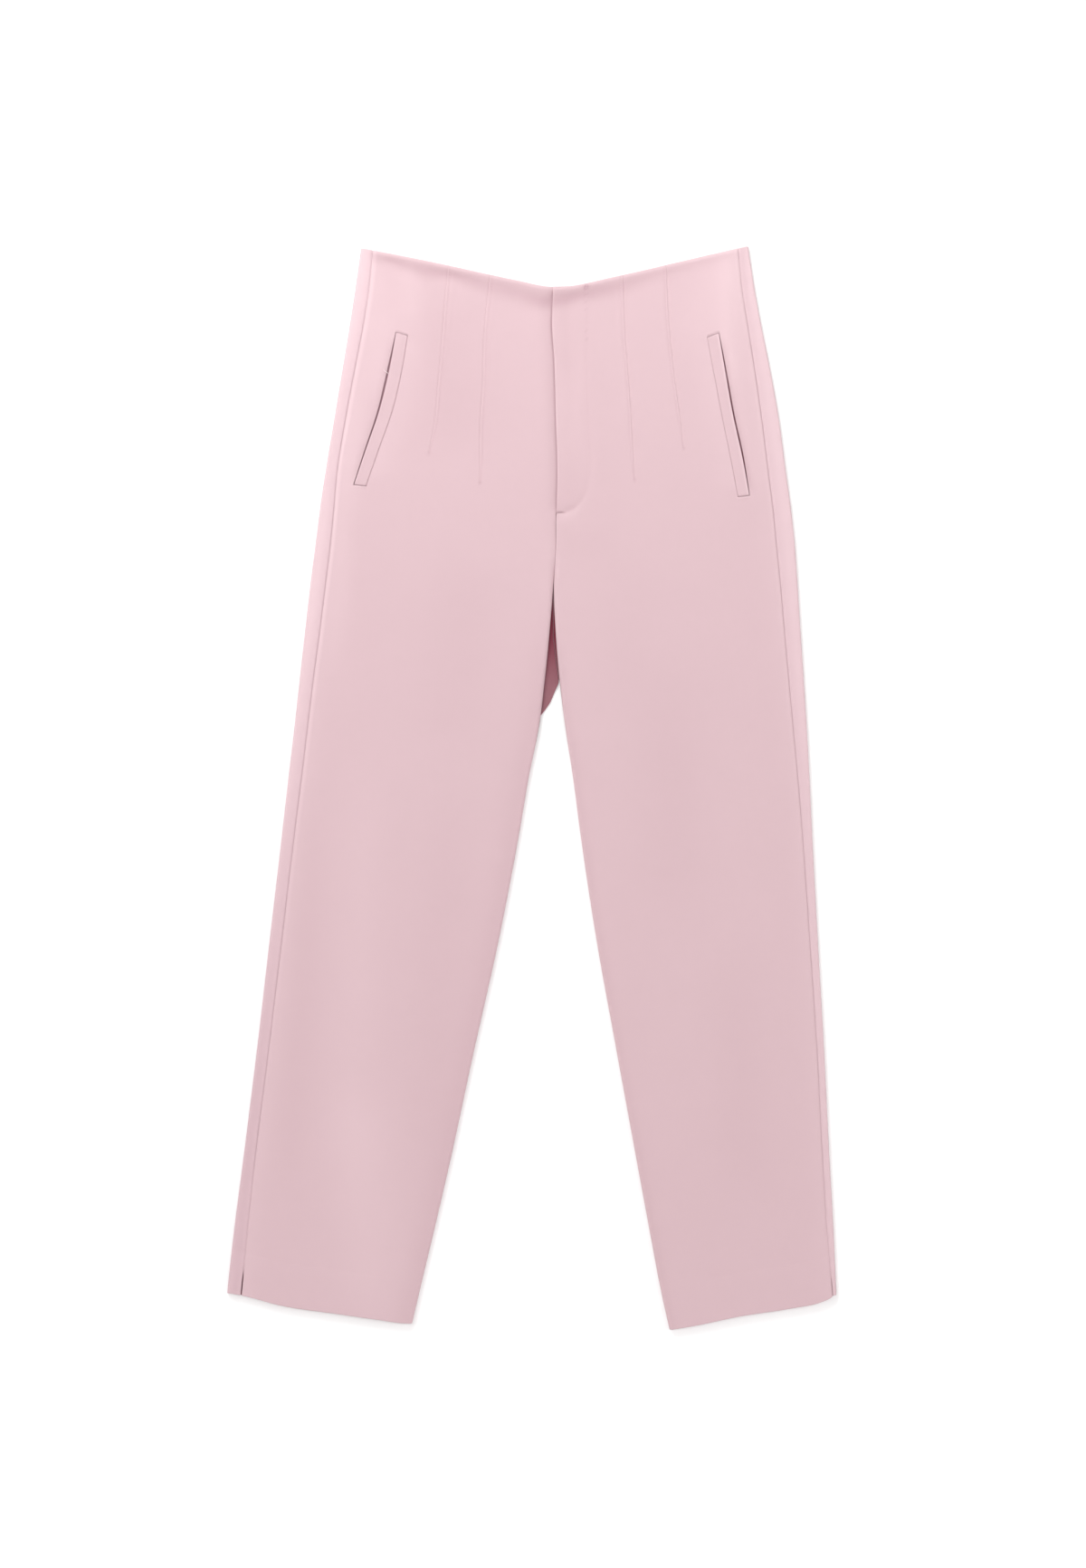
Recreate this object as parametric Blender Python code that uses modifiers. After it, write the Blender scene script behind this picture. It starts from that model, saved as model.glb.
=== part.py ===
"""Carrot-fit trousers, laid flat on a table with the fronts up.

Sizes are in millimetres and become metres when a mesh is made. +Y runs from the hems to the
waist, +X to the wearer's left, +Z up from the table. The origin is under the middle of the
garment's outline, on the table.

Each panel is an open surface, the outer face of the cloth, lofted through sections and given
its thickness by Solidify. The backs lie on the table, turn up round the outseam folds and end
at the side seams on the upper side. The fronts run from the side seams to the fly, and lower
down turn round the inner folds to the inseams.
"""

import math
from collections import namedtuple

import bpy
import numpy as np

MILLIMETRE = 0.001

# Cloth
CLOTH_WALL = 1.2
HEM_WALL = 1.5
POCKETING_WALL = 1.0
SEAM_GAP = 0.3
LAYER_STEP = CLOTH_WALL + SEAM_GAP

# Heights of the upper side above the table
BODY_HEIGHT = 5.0
OUTER_FOLD_HEIGHT = 4.9
OUTER_SHOULDER = 9.0
INNER_SHOULDER = 13.0

# Garment lengths
HEM_DEPTH = 38.0
SIDE_SLIT_LENGTH = 28.0
SIDE_SLIT_WIDTH = {"right": 1.5, "left": 0.8}
UNDERLAP = 4.0
LAP_PLATEAU = 19.0
LAP_WIDTH = 35.0
DART_HALF_WIDTH = 1.6
DART_DEPTH = 0.45
DART_FADE = 60.0
WELT_RISE = 0.35
FRONT_WIDTH = 180.0
HALF_GARMENT = 200.0

# Rolls of the inner folds
LEG_TURN = 150.0
WEB_TURN = 90.0
WEB_CLEARANCE = CLOTH_WALL + 0.4
BACK_TURN = 5.0
SEAM_RUN = 1.0
FLATTEST_TURN = 0.1

# A row for each section across the garment: where the outseam folds, the side seams and the
# inner edges lie. Above the crotch the inner edges are the centre front.
SECTION_COLUMNS = ("y", "right_outer", "right_seam", "right_inner",
                   "left_inner", "left_seam", "left_outer")
SECTIONS = (
    (500.0, -158.5, -147.6, 19.3, 19.3, 191.6, 201.3),
    (464.0, -163.4, -150.9, 19.3, 19.3, 195.0, 206.6),
    (430.0, -168.6, -156.0, 18.3, 18.3, 200.2, 212.8),
    (396.0, -174.3, -162.6, 20.4, 20.4, 205.6, 219.7),
    (345.0, -182.7, -172.1, 21.8, 21.8, 213.0, 228.9),
    (295.0, -191.0, -180.2, 23.3, 23.3, 219.2, 235.6),
    (258.0, -196.5, -183.5, 22.6, 22.6, 223.9, 240.6),
    (228.0, -200.3, -186.4, 22.6, 22.6, 226.8, 243.8),
    (186.0, -205.6, -191.5, 20.1, 20.3, 231.0, 246.8),
    (144.0, -210.4, -196.7, 16.8, 22.0, 234.6, 249.4),
    (102.0, -215.1, -202.3, 12.6, 25.5, 238.4, 252.2),
    (60.0, -219.7, -207.4, 7.4, 30.6, 242.2, 254.9),
    (10.0, -225.6, -213.3, -2.6, 38.2, 246.8, 257.6),
    (-41.0, -231.4, -219.8, -11.3, 44.9, 251.0, 260.0),
    (-142.0, -243.2, -231.8, -30.7, 60.2, 258.0, 265.4),
    (-243.0, -254.9, -243.9, -53.3, 78.5, 264.7, 271.2),
    (-344.0, -267.5, -256.5, -75.1, 97.0, 269.9, 276.2),
    (-411.0, -276.2, -263.6, -90.6, 109.4, 274.1, 280.0),
    (-470.0, -282.7, -269.5, -104.7, 120.6, 279.3, 282.7),
    (-504.0, -286.0, -273.0, -112.6, 128.2, 282.0, 284.6),
)

# The waist edge and the two hems, from the side of the wearer's right to the left.
EDGE_COLUMNS = ("x", "y")
WAIST_EDGE = ((-159.0, 500.7), (-90.0, 487.0), (-17.0, 471.2), (18.0, 464.5), (30.0, 464.5),
              (77.0, 473.8), (140.0, 488.3), (201.0, 502.4))
HEMS = {
    "right": ((-283.0, -468.5), (-269.0, -470.8), (-231.0, -480.5), (-181.0, -488.0),
              (-121.0, -497.0), (-110.0, -497.3)),
    "left": ((128.0, -502.2), (152.0, -499.0), (192.0, -490.6), (242.0, -483.0),
             (272.0, -476.4), (283.0, -468.5)),
}

# How far the inner edges are rolled down, in degrees, and how high the cloth lies there.
ROLL_COLUMNS = ("y", "right_turn", "left_turn", "height")
ROLLS = (
    (500.0, 0.0, 0.0, 5.4),
    (245.0, 0.0, 0.0, 5.4),
    (228.0, 6.0, 6.0, 5.4),
    (200.0, 48.0, 48.0, 5.4),
    (173.0, 80.0, 80.0, 5.4),
    (150.0, 90.0, 90.0, 5.3),
    (88.0, 90.0, 90.0, 5.1),
    (70.0, 90.0, 150.0, 5.0),
    (60.0, 90.0, 150.0, 5.0),
    (42.0, 150.0, 150.0, 4.9),
    (10.0, 150.0, 150.0, 4.8),
    (-504.0, 150.0, 150.0, 4.8),
)

# The backs' inner boundary: the centre back seam, then the lower edge of the crotch.
SEAT_COLUMNS = ("y", "right", "left", "right_leg_share", "left_leg_share")
SEAT = (
    (500.0, 20.0, 20.0, 0.0, 0.0),
    (140.0, 20.0, 20.0, 0.0, 0.0),
    (118.0, 22.6, 22.6, 0.0, 0.0),
    (99.0, 25.6, 25.6, 0.0, 0.0),
    (88.0, 20.8, 28.0, 0.0, 0.7),
    (80.0, 17.6, 29.0, 0.0, 1.0),
    (70.0, 10.8, 29.0, 0.0, 1.0),
    (60.0, 4.5, 29.0, 1.0, 1.0),
    (-504.0, 4.5, 29.0, 1.0, 1.0),
)

# The fly: how far the left front is raised over the right one, and the right one's underlap.
FLY_COLUMNS = ("y", "rise", "underlap")
FLY = (
    (500.0, LAYER_STEP, UNDERLAP),
    (266.0, LAYER_STEP, UNDERLAP),
    (254.0, LAYER_STEP, -SEAM_GAP / 2.0),
    (241.0, LAYER_STEP, -SEAM_GAP / 2.0),
    (214.0, 0.0, -SEAM_GAP / 2.0),
    (-504.0, 0.0, -SEAM_GAP / 2.0),
)

# Front darts: share of the front's width from its side seam, and where each one ends.
Dart = namedtuple("Dart", "share point_y")
DARTS = {
    "right": (Dart(0.415, 311.0), Dart(0.650, 284.0)),
    "left": (Dart(0.390, 316.0), Dart(0.632, 285.0)),
}

# Soft folds of the laid cloth, each a straight ridge or, with a minus, a trough.
Fold = namedtuple("Fold", "leg x_top y_top x_low y_low half_width height")
FOLDS = (
    Fold("right", -150.0, 70.0, -174.0, -440.0, 24.0, 1.1),
    Fold("right", -200.0, 20.0, -228.0, -430.0, 15.0, -0.6),
    Fold("right", -66.0, 30.0, -104.0, -410.0, 24.0, -0.7),
    Fold("right", -136.0, 425.0, -172.0, 255.0, 13.0, -0.5),
    Fold("right", -60.0, 260.0, -90.0, 60.0, 40.0, 0.5),
    Fold("left", 124.0, 150.0, 134.0, -150.0, 32.0, -0.6),
    Fold("left", 190.0, 120.0, 214.0, -300.0, 30.0, 0.5),
    Fold("left", 190.0, -120.0, 200.0, -420.0, 26.0, -0.5),
    Fold("left", 186.0, 425.0, 208.0, 255.0, 13.0, -0.4),
    Fold("left", 90.0, 250.0, 84.0, 40.0, 30.0, 0.4),
)

# Pocket welts: outer folded edge, inner seam and the mouth that gapes beside the outer edge.
WELT_COLUMNS = ("outer_x", "outer_y", "inner_x", "inner_y", "mouth")
WELTS = {
    "right": (
        (-125.2, 422.4, -114.8, 419.2, 0.4),
        (-131.6, 387.0, -120.6, 385.0, 2.4),
        (-140.6, 350.5, -129.0, 349.5, 3.2),
        (-152.6, 315.5, -141.2, 315.0, 1.4),
        (-164.2, 281.4, -153.3, 280.2, 0.4),
    ),
    "left": (
        (173.0, 421.4, 162.6, 417.8, 0.4),
        (180.0, 385.0, 169.0, 383.5, 1.0),
        (187.3, 346.0, 176.2, 345.4, 1.4),
        (195.0, 310.0, 183.6, 309.5, 1.0),
        (201.4, 271.6, 191.2, 270.2, 0.4),
    ),
}

# Pocket bags, as seen from above: the top edge's and bottom edge's ends.
Bag = namedtuple("Bag", "top_outer top_inner low_outer low_inner")
BAGS = {
    "right": Bag((-140.0, 436.0), (-62.0, 426.0), (-172.0, 232.0), (-84.0, 222.0)),
    "left": Bag((186.0, 436.0), (108.0, 426.0), (212.0, 226.0), (124.0, 216.0)),
}

# Rows down the panels at the sides; near the waist and the hems they follow the edges.
ROWS = (500.0, 494.0, 484.0, 462.0, 436.0, 410.0, 384.0, 358.0, 332.0, 306.0, 284.0, 266.0,
        254.0, 242.0, 228.0, 214.0, 200.0, 186.0, 172.0, 156.0, 140.0, 126.0, 112.0, 99.0,
        88.0, 79.0, 70.0, 60.0, 42.0, 15.0, -30.0, -85.0, -145.0, -210.0, -275.0, -345.0,
        -400.0, -432.0, -445.0, -458.0, -470.0)
WAIST_ROW = 500.0
HIP_ROW = 306.0
SHIN_ROW = -345.0
HEM_ROW = -470.0

# Columns across a front, as shares of its width, beside those of the darts.
FRONT_SHARES = (0.0, 0.07, 0.16, 0.28, 0.53, 0.76, 0.86, 0.94, 1.0)
ROLL_SHARES = (0.22, 0.44, 0.66, 0.88, 1.0)
STRIP_SHARES = (0.0, 0.5, 1.0)
OUTER_FOLD_STEPS = 6
FLOOR_SHARES = (0.12, 0.35, 0.6, 0.85, 1.0)
BACK_ROLL_STEPS = 2
SETTLING_ROUNDS = 4
WELT_ROWS = 13
WELT_SHARES = (0.0, 0.12, 0.5, 0.88, 1.0)
BAG_ROWS = 9
BAG_COLUMNS = 7
BAG_DROP = 0.45
BAG_CORNER = 14.0
CUTTER_Z = (1.6, 12.0)

# Fly closure, hidden under the lap
SHIELD_Z = (1.5, 2.5)
SHIELD_X = (10.0, 55.0)
SHIELD_Y = (248.0, 462.0)
SHIELD_CORNER = 12.0
TAPE_Z = (2.8, 3.8)
TAPE_X = (17.0, 45.0)
TAPE_Y = (264.0, 446.0)
CHAIN_WIDTH = 5.0
CHAIN_TOP = 4.1
SLIDER_Z = (4.4, 5.1)
SLIDER_Y = 436.0
HOOK_CENTRE = (29.5, 455.0)
HOOK_HALF = (6.0, 4.0)
BAR_HALF = (7.5, 3.0)
PLATE_CORNER = 1.5
BAR_Z = (2.8, 3.6)
HOOK_Z = (3.9, 5.0)

# Slider seen from above: a wide body that narrows to the tab, which lies down over the chain
SLIDER_OUTLINE = ((-4.5, 5.0), (-5.0, 2.0), (-3.6, -5.0), (-2.4, -6.0), (-2.6, -22.0),
                  (-1.6, -24.5), (1.6, -24.5), (2.6, -22.0), (2.4, -6.0), (3.6, -5.0),
                  (5.0, 2.0), (4.5, 5.0))

PINK = (0.80, 0.57, 0.60, 1.0)
POCKETING = (0.80, 0.66, 0.66, 1.0)
TAPE_PINK = (0.74, 0.50, 0.54, 1.0)
NICKEL = (0.62, 0.61, 0.60, 1.0)

SIGN = {"right": -1.0, "left": 1.0}


def curve_through(knots, values, at):
    """Smooth curve through the knots: cubic pieces whose slopes are the knots' own."""
    order = np.argsort(knots)
    knots = np.asarray(knots, float)[order]
    values = np.asarray(values, float)[order]
    slopes = np.gradient(values, knots)
    at = np.clip(at, knots[0], knots[-1])
    piece = np.clip(np.searchsorted(knots, at) - 1, 0, len(knots) - 2)
    span = knots[piece + 1] - knots[piece]
    s = (at - knots[piece]) / span
    start = (1 + 2 * s) * (1 - s) ** 2 * values[piece]
    start_slope = s * (1 - s) ** 2 * span * slopes[piece]
    end = s ** 2 * (3 - 2 * s) * values[piece + 1]
    end_slope = s ** 2 * (s - 1) * span * slopes[piece + 1]
    return start + start_slope + end + end_slope


def column(table, columns, name):
    """One named column of a table."""
    return [row[columns.index(name)] for row in table]


def section(name, y):
    """Where a named line of SECTIONS lies at the height y."""
    ys = column(SECTIONS, SECTION_COLUMNS, "y")
    return curve_through(ys, column(SECTIONS, SECTION_COLUMNS, name), y)


def straight(table, columns, name, y):
    """A named column at the height y, with straight runs between the rows."""
    ys = column(table, columns, "y")[::-1]
    return np.interp(y, ys, column(table, columns, name)[::-1])


def ease(share):
    """Smooth step from 0 to 1, level at both ends."""
    share = np.clip(share, 0.0, 1.0)
    return share ** 2 * (3 - 2 * share)


def edge_y(edge, x):
    """Height of the waist edge or of a hem at x."""
    return curve_through(column(edge, EDGE_COLUMNS, "x"), column(edge, EDGE_COLUMNS, "y"), x)


def follow_edges(row, x, leg):
    """Height of a row at x: level in the middle, drawn to the waist edge and the hem."""
    up = (edge_y(WAIST_EDGE, x) - HIP_ROW) / (WAIST_ROW - HIP_ROW)
    down = (SHIN_ROW - edge_y(HEMS[leg], x)) / (SHIN_ROW - HEM_ROW)
    y = np.where(row > HIP_ROW, HIP_ROW + (row - HIP_ROW) * up, row)
    return np.where(row < SHIN_ROW, SHIN_ROW - (SHIN_ROW - row) * down, y)


def fold_height(leg, x, y):
    """Sum of one leg's soft folds: a bell across each fold, eased to nothing at its ends."""
    total = np.zeros(np.broadcast(x, y).shape)
    for fold in FOLDS:
        if fold.leg != leg:
            continue
        run_x = fold.x_low - fold.x_top
        run_y = fold.y_low - fold.y_top
        length = math.hypot(run_x, run_y)
        along = ((x - fold.x_top) * run_x + (y - fold.y_top) * run_y) / length ** 2
        across = ((x - fold.x_top) * run_y - (y - fold.y_top) * run_x) / length
        taper = ease(along / 0.3) * ease((1 - along) / 0.3)
        total = total + fold.height * taper * np.exp(-(across / fold.half_width) ** 2)
    return total


def top_height(leg, x, y):
    """Height of the upper side: level, with soft folds, and eased down to both folds."""
    height = BODY_HEIGHT + fold_height(leg, x, y)
    inner_height = straight(ROLLS, ROLL_COLUMNS, "height", y)
    from_inner = SIGN[leg] * (x - section(leg + "_inner", y)) - inner_height
    height = inner_height + (height - inner_height) * ease(from_inner / INNER_SHOULDER)
    from_outer = SIGN[leg] * (section(leg + "_outer", y) - x) - OUTER_FOLD_HEIGHT / 2
    share = ease(from_outer / OUTER_SHOULDER)
    return OUTER_FOLD_HEIGHT + (height - OUTER_FOLD_HEIGHT) * share


def inner_roll(leg, y):
    """Turn in radians, radius, and centre line x of the roll along a front's inner edge."""
    turn_degrees = straight(ROLLS, ROLL_COLUMNS, leg + "_turn", y)
    height = straight(ROLLS, ROLL_COLUMNS, "height", y)
    turn = np.radians(np.maximum(turn_degrees, FLATTEST_TURN))
    web_length = (height - WEB_CLEARANCE) * math.radians(WEB_TURN)
    leg_length = height / 2 * math.radians(LEG_TURN)
    share = np.clip((turn_degrees - WEB_TURN) / (LEG_TURN - WEB_TURN), 0.0, 1.0)
    radius = (web_length + (leg_length - web_length) * share) / turn
    reach = radius * np.sin(np.minimum(turn, math.pi / 2))
    underlap = straight(FLY, FLY_COLUMNS, "underlap", y) if leg == "right" else -SEAM_GAP / 2
    edge = section(leg + "_inner", y) - SIGN[leg] * underlap
    return turn, radius, edge + SIGN[leg] * reach


def seam_edge(leg, y, hem, sign_out):
    """Edge of a panel along the side seam, half a gap from it, wider in the hem's slit."""
    slit = ease((hem + SIDE_SLIT_LENGTH - y) / SIDE_SLIT_LENGTH)
    gap = SEAM_GAP + (SIDE_SLIT_WIDTH[leg] - SEAM_GAP) * slit
    return section(leg + "_seam", y) + sign_out * SIGN[leg] * gap / 2


def lap_rise(leg, x, y):
    """How far the left front is raised along the fly to lie over the right one."""
    if leg == "right":
        return np.zeros(np.broadcast(x, y).shape)
    from_edge = x - section("left_inner", y)
    share = 1 - ease((from_edge - LAP_PLATEAU) / (LAP_WIDTH - LAP_PLATEAU))
    return straight(FLY, FLY_COLUMNS, "rise", y) * share


def dart_sink(leg, x, y, width_from, width_to):
    """Depth of the darts' seams below the cloth beside them."""
    sink = np.zeros(np.broadcast(x, y).shape)
    for dart in DARTS[leg]:
        centre = width_from + (width_to - width_from) * dart.share
        near = 1 - np.clip(np.abs(x - centre) / DART_HALF_WIDTH, 0.0, 1.0)
        depth = DART_DEPTH * ease((y - dart.point_y) / DART_FADE)
        sink = sink + depth * near
    return sink


def front_points(leg):
    """Outer face of a front: rows from waist to hem, columns from side seam to inner edge."""
    rows = np.array(ROWS)[:, None]
    dart_shares = [dart.share for dart in DARTS[leg]]
    offset = DART_HALF_WIDTH / FRONT_WIDTH
    beside_darts = [share + side * offset for share in dart_shares for side in (-1, 1)]
    shares = np.array(sorted(list(FRONT_SHARES) + dart_shares + beside_darts))[None, :]
    x = np.full((len(ROWS), 1), SIGN[leg] * HALF_GARMENT) + np.zeros_like(shares)
    # The rows follow the edges and the columns lean with the rows: a few rounds settle both.
    for _ in range(SETTLING_ROUNDS):
        y = follow_edges(rows, x, leg)
        turn, radius, centre = inner_roll(leg, y)
        outer_edge = seam_edge(leg, y, edge_y(HEMS[leg], x), -1.0)
        x = outer_edge + (centre - outer_edge) * shares
    z = top_height(leg, x, y) + lap_rise(leg, x, y)
    z = z - dart_sink(leg, x, y, outer_edge, centre)
    # The roll goes on from the last column.
    step = np.array(ROLL_SHARES)[None, :]
    y_roll = np.repeat(y[:, -1:], len(ROLL_SHARES), axis=1)
    angle = turn[:, -1:] * step
    x_roll = x[:, -1:] - SIGN[leg] * radius[:, -1:] * np.sin(angle)
    z_roll = z[:, -1:] - radius[:, -1:] * (1 - np.cos(angle))
    return np.stack([np.hstack([x, x_roll]), np.hstack([y, y_roll]),
                     np.hstack([z, z_roll])], axis=-1)


def back_points(leg):
    """Outer face of a back: columns from side seam round the outer fold to the inner edge."""
    rows = np.array(ROWS)[:, None]
    sign = SIGN[leg]

    def heights(x):
        """Heights of the rows at x."""
        return follow_edges(rows, x, leg)

    y = heights(section(leg + "_outer", rows))
    y = heights(section(leg + "_outer", y))
    radius = OUTER_FOLD_HEIGHT / 2
    fold_x = section(leg + "_outer", y) - sign * radius
    # Strip on the upper side
    outer_edge = seam_edge(leg, y, edge_y(HEMS[leg], fold_x), 1.0)
    strip = np.array(STRIP_SHARES)[None, :]
    x_strip = outer_edge + (fold_x - outer_edge) * strip
    y_strip = heights(x_strip)
    z_strip = top_height(leg, x_strip, y_strip)
    # Outer fold
    angle = np.pi * (np.arange(OUTER_FOLD_STEPS) + 1.0)[None, :] / OUTER_FOLD_STEPS
    x_fold = fold_x + sign * radius * np.sin(angle)
    z_fold = radius * (1 + np.cos(angle)) + np.zeros_like(x_fold)
    y_fold = heights(fold_x) + np.zeros_like(angle)
    # Floor
    y_in = heights(section(leg + "_inner", y))
    for _ in range(SETTLING_ROUNDS):
        _, _, centre = inner_roll(leg, y_in)
        share = straight(SEAT, SEAT_COLUMNS, leg + "_leg_share", y_in)
        seat_edge = straight(SEAT, SEAT_COLUMNS, leg, y_in) + sign * (SEAM_GAP / 2 + SEAM_RUN)
        floor_end = seat_edge * (1 - share) + centre * share
        y_in = heights(floor_end)
    floor = np.array(FLOOR_SHARES)[None, :]
    x_floor = fold_x + (floor_end - fold_x) * floor
    y_floor = heights(x_floor)
    z_floor = np.zeros_like(x_floor)
    # Short rise to the inseam, level along the centre back seam
    height = straight(ROLLS, ROLL_COLUMNS, "height", y_in)
    rise = np.radians(BACK_TURN) * share
    step = (np.arange(BACK_ROLL_STEPS) + 1.0)[None, :] / BACK_ROLL_STEPS
    roll = height / 2 * np.radians(BACK_TURN)
    x_rise = floor_end - sign * roll * step * np.sinc(rise * step / np.pi) * share
    x_rise = x_rise - sign * (1 - share) * SEAM_RUN * step
    z_rise = height / 2 * (1 - np.cos(rise * step))
    y_rise = np.repeat(y_floor[:, -1:], BACK_ROLL_STEPS, axis=1)
    return np.stack([np.hstack([x_strip, x_fold, x_floor, x_rise]),
                     np.hstack([y_strip, y_fold, y_floor, y_rise]),
                     np.hstack([z_strip, z_fold, z_floor, z_rise])], axis=-1)


def welt_line(leg, name, share):
    """A named column of a welt's table at a share of its length, top to bottom."""
    table = WELTS[leg]
    return curve_through(np.linspace(0.0, 1.0, len(table)), column(table, WELT_COLUMNS, name), share)


def welt_outline(leg, share):
    """Outer edge, inner seam and width of the gaping mouth along a welt."""
    outer = np.stack([welt_line(leg, "outer_x", share), welt_line(leg, "outer_y", share)], axis=-1)
    inner = np.stack([welt_line(leg, "inner_x", share), welt_line(leg, "inner_y", share)], axis=-1)
    return outer, inner, welt_line(leg, "mouth", share)


def welt_points(leg):
    """Face of a welt: the front's own points under it, moved out, rounded to its long edges."""
    outer, inner, _ = welt_outline(leg, np.linspace(0.0, 1.0, WELT_ROWS))
    across = np.array(WELT_SHARES)[None, :, None]
    plan = outer[:, None, :] + (inner - outer)[:, None, :] * across
    crown = WELT_RISE * (1 - (2 * across[..., 0] - 1) ** 4)
    z = top_height(leg, plan[..., 0], plan[..., 1]) + crown
    return np.concatenate([plan, z[..., None]], axis=-1)


def bag_points(leg):
    """Outer face of a pocket bag: the front's points there, moved in under its inner side."""
    bag = BAGS[leg]
    down = np.linspace(0.0, 1.0, BAG_ROWS)[:, None, None]
    across = np.linspace(0.0, 1.0, BAG_COLUMNS)[None, :, None]
    top = np.array(bag.top_outer) + (np.array(bag.top_inner) - np.array(bag.top_outer)) * across
    low = np.array(bag.low_outer) + (np.array(bag.low_inner) - np.array(bag.low_outer)) * across
    plan = top + (low - top) * down
    # The lower corners are rounded: the outer columns end a little higher.
    corner = (2 * across - 1) ** 6 * BAG_CORNER * ease((down - 0.7) / 0.3)
    plan = plan + np.concatenate([np.zeros_like(corner), corner], axis=-1)
    z = top_height(leg, plan[..., 0], plan[..., 1]) - CLOTH_WALL - SEAM_GAP - BAG_DROP
    return np.concatenate([plan, z[..., None]], axis=-1)


def material(name, colour, roughness, metallic=0.0):
    """A Principled material."""
    made = bpy.data.materials.new(name)
    made.use_nodes = True
    shader = made.node_tree.nodes["Principled BSDF"]
    shader.inputs["Base Color"].default_value = colour
    shader.inputs["Roughness"].default_value = roughness
    shader.inputs["Metallic"].default_value = metallic
    return made


def place(obj, collection, finish):
    """Put an object in a collection and give it its material."""
    collection.objects.link(obj)
    if finish is not None:
        obj.data.materials.append(finish)
    return obj


def shell(name, points, wall, collection, finish, flip):
    """A sheet of cloth: the grid of points is its outer face, Solidify gives it its wall.

    A wall is one thickness, or one for each point of the grid.
    """
    row_count, column_count = points.shape[:2]
    mesh = bpy.data.meshes.new(name)
    index = np.arange(row_count * column_count).reshape(row_count, column_count)
    quads = np.stack([index[:-1, :-1], index[:-1, 1:], index[1:, 1:], index[1:, :-1]], axis=-1)
    quads = quads.reshape(-1, 4)
    if flip:
        quads = quads[:, ::-1]
    mesh.from_pydata((points.reshape(-1, 3) * MILLIMETRE).tolist(), [], quads.tolist())
    mesh.shade_smooth()
    obj = place(bpy.data.objects.new(name, mesh), collection, finish)
    walls = np.broadcast_to(wall, (row_count, column_count)).ravel()
    group = obj.vertex_groups.new(name="wall")
    for number, thickness in enumerate(walls):
        group.add([number], float(thickness / HEM_WALL), "REPLACE")
    solidify = obj.modifiers.new("Wall", "SOLIDIFY")
    solidify.thickness = HEM_WALL * MILLIMETRE
    solidify.offset = -1.0
    solidify.vertex_group = "wall"
    solidify.use_quality_normals = True
    return obj


def hem_wall(points):
    """Wall of a panel: doubled a little over the depth of the hem."""
    y = points[..., 1]
    above_hem = y - y[-1:]
    return np.where(above_hem < HEM_DEPTH, HEM_WALL, CLOTH_WALL)


def flat_plate(name, outline, heights, collection, finish):
    """A flat outline between two heights: a filled 2D curve with an extrude."""
    curve = bpy.data.curves.new(name, "CURVE")
    curve.dimensions = "2D"
    curve.fill_mode = "BOTH"
    curve.extrude = (heights[1] - heights[0]) / 2 * MILLIMETRE
    spline = curve.splines.new("POLY")
    spline.points.add(len(outline) - 1)
    for point, (x, y) in zip(spline.points, outline):
        point.co = (x * MILLIMETRE, y * MILLIMETRE, 0.0, 1.0)
    spline.use_cyclic_u = True
    obj = place(bpy.data.objects.new(name, curve), collection, finish)
    obj.location.z = (heights[0] + heights[1]) / 2 * MILLIMETRE
    return obj


def rounded(x_span, y_span, radius, steps=4):
    """Outline of a rectangle with rounded corners, anticlockwise."""
    corners = ((x_span[1], y_span[1], 0), (x_span[0], y_span[1], 90),
               (x_span[0], y_span[0], 180), (x_span[1], y_span[0], 270))
    outline = []
    for x, y, start in corners:
        centre_x = x - math.copysign(radius, x - sum(x_span) / 2)
        centre_y = y - math.copysign(radius, y - sum(y_span) / 2)
        for step in range(steps + 1):
            angle = math.radians(start + 90.0 * step / steps)
            outline.append((centre_x + radius * math.cos(angle),
                            centre_y + radius * math.sin(angle)))
    return outline


def mouth_cutter(leg, collection):
    """Prism that cuts the pocket's opening in the front: the welt's outline and its mouth."""
    outer, inner, mouth = welt_outline(leg, np.linspace(0.0, 1.0, WELT_ROWS))
    across = outer - inner
    across = across / np.linalg.norm(across, axis=-1, keepdims=True)
    outer = outer + across * (SEAM_GAP + mouth[:, None])
    inner = inner - across * SEAM_GAP
    down = (outer[-1] - outer[0]) / np.linalg.norm(outer[-1] - outer[0])
    for line in (outer, inner):
        line[0] -= down * SEAM_GAP
        line[-1] += down * SEAM_GAP
    outline = np.vstack([outer, inner[::-1]])
    if leg == "left":
        outline = outline[::-1]
    count = len(outline)
    low = np.column_stack([outline, np.full(count, CUTTER_Z[0])])
    high = np.column_stack([outline, np.full(count, CUTTER_Z[1])])
    mesh = bpy.data.meshes.new("mouth_" + leg)
    ring = np.arange(count)
    after = (ring + 1) % count
    sides = np.stack([ring, after, after + count, ring + count], axis=-1)
    faces = sides.tolist() + [ring[::-1].tolist(), (ring + count).tolist()]
    mesh.from_pydata((np.vstack([low, high]) * MILLIMETRE).tolist(), [], faces)
    cutter = place(bpy.data.objects.new("mouth_" + leg, mesh), collection, None)
    cutter.hide_render = True
    cutter.display_type = "WIRE"
    return cutter


def build_panels(parts, cutters):
    """The two fronts, with their pocket openings, and the two backs."""
    for leg in ("left", "right"):
        cloth = material("cloth_front_" + leg, PINK, 0.85)
        points = front_points(leg)
        front = shell("front_" + leg, points, hem_wall(points), parts, cloth, leg == "right")
        cut = front.modifiers.new("Pocket opening", "BOOLEAN")
        cut.operation = "DIFFERENCE"
        cut.object = mouth_cutter(leg, cutters)
        cloth = material("cloth_back_" + leg, PINK, 0.85)
        points = back_points(leg)
        shell("back_" + leg, points, hem_wall(points), parts, cloth, leg == "left")


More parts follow.
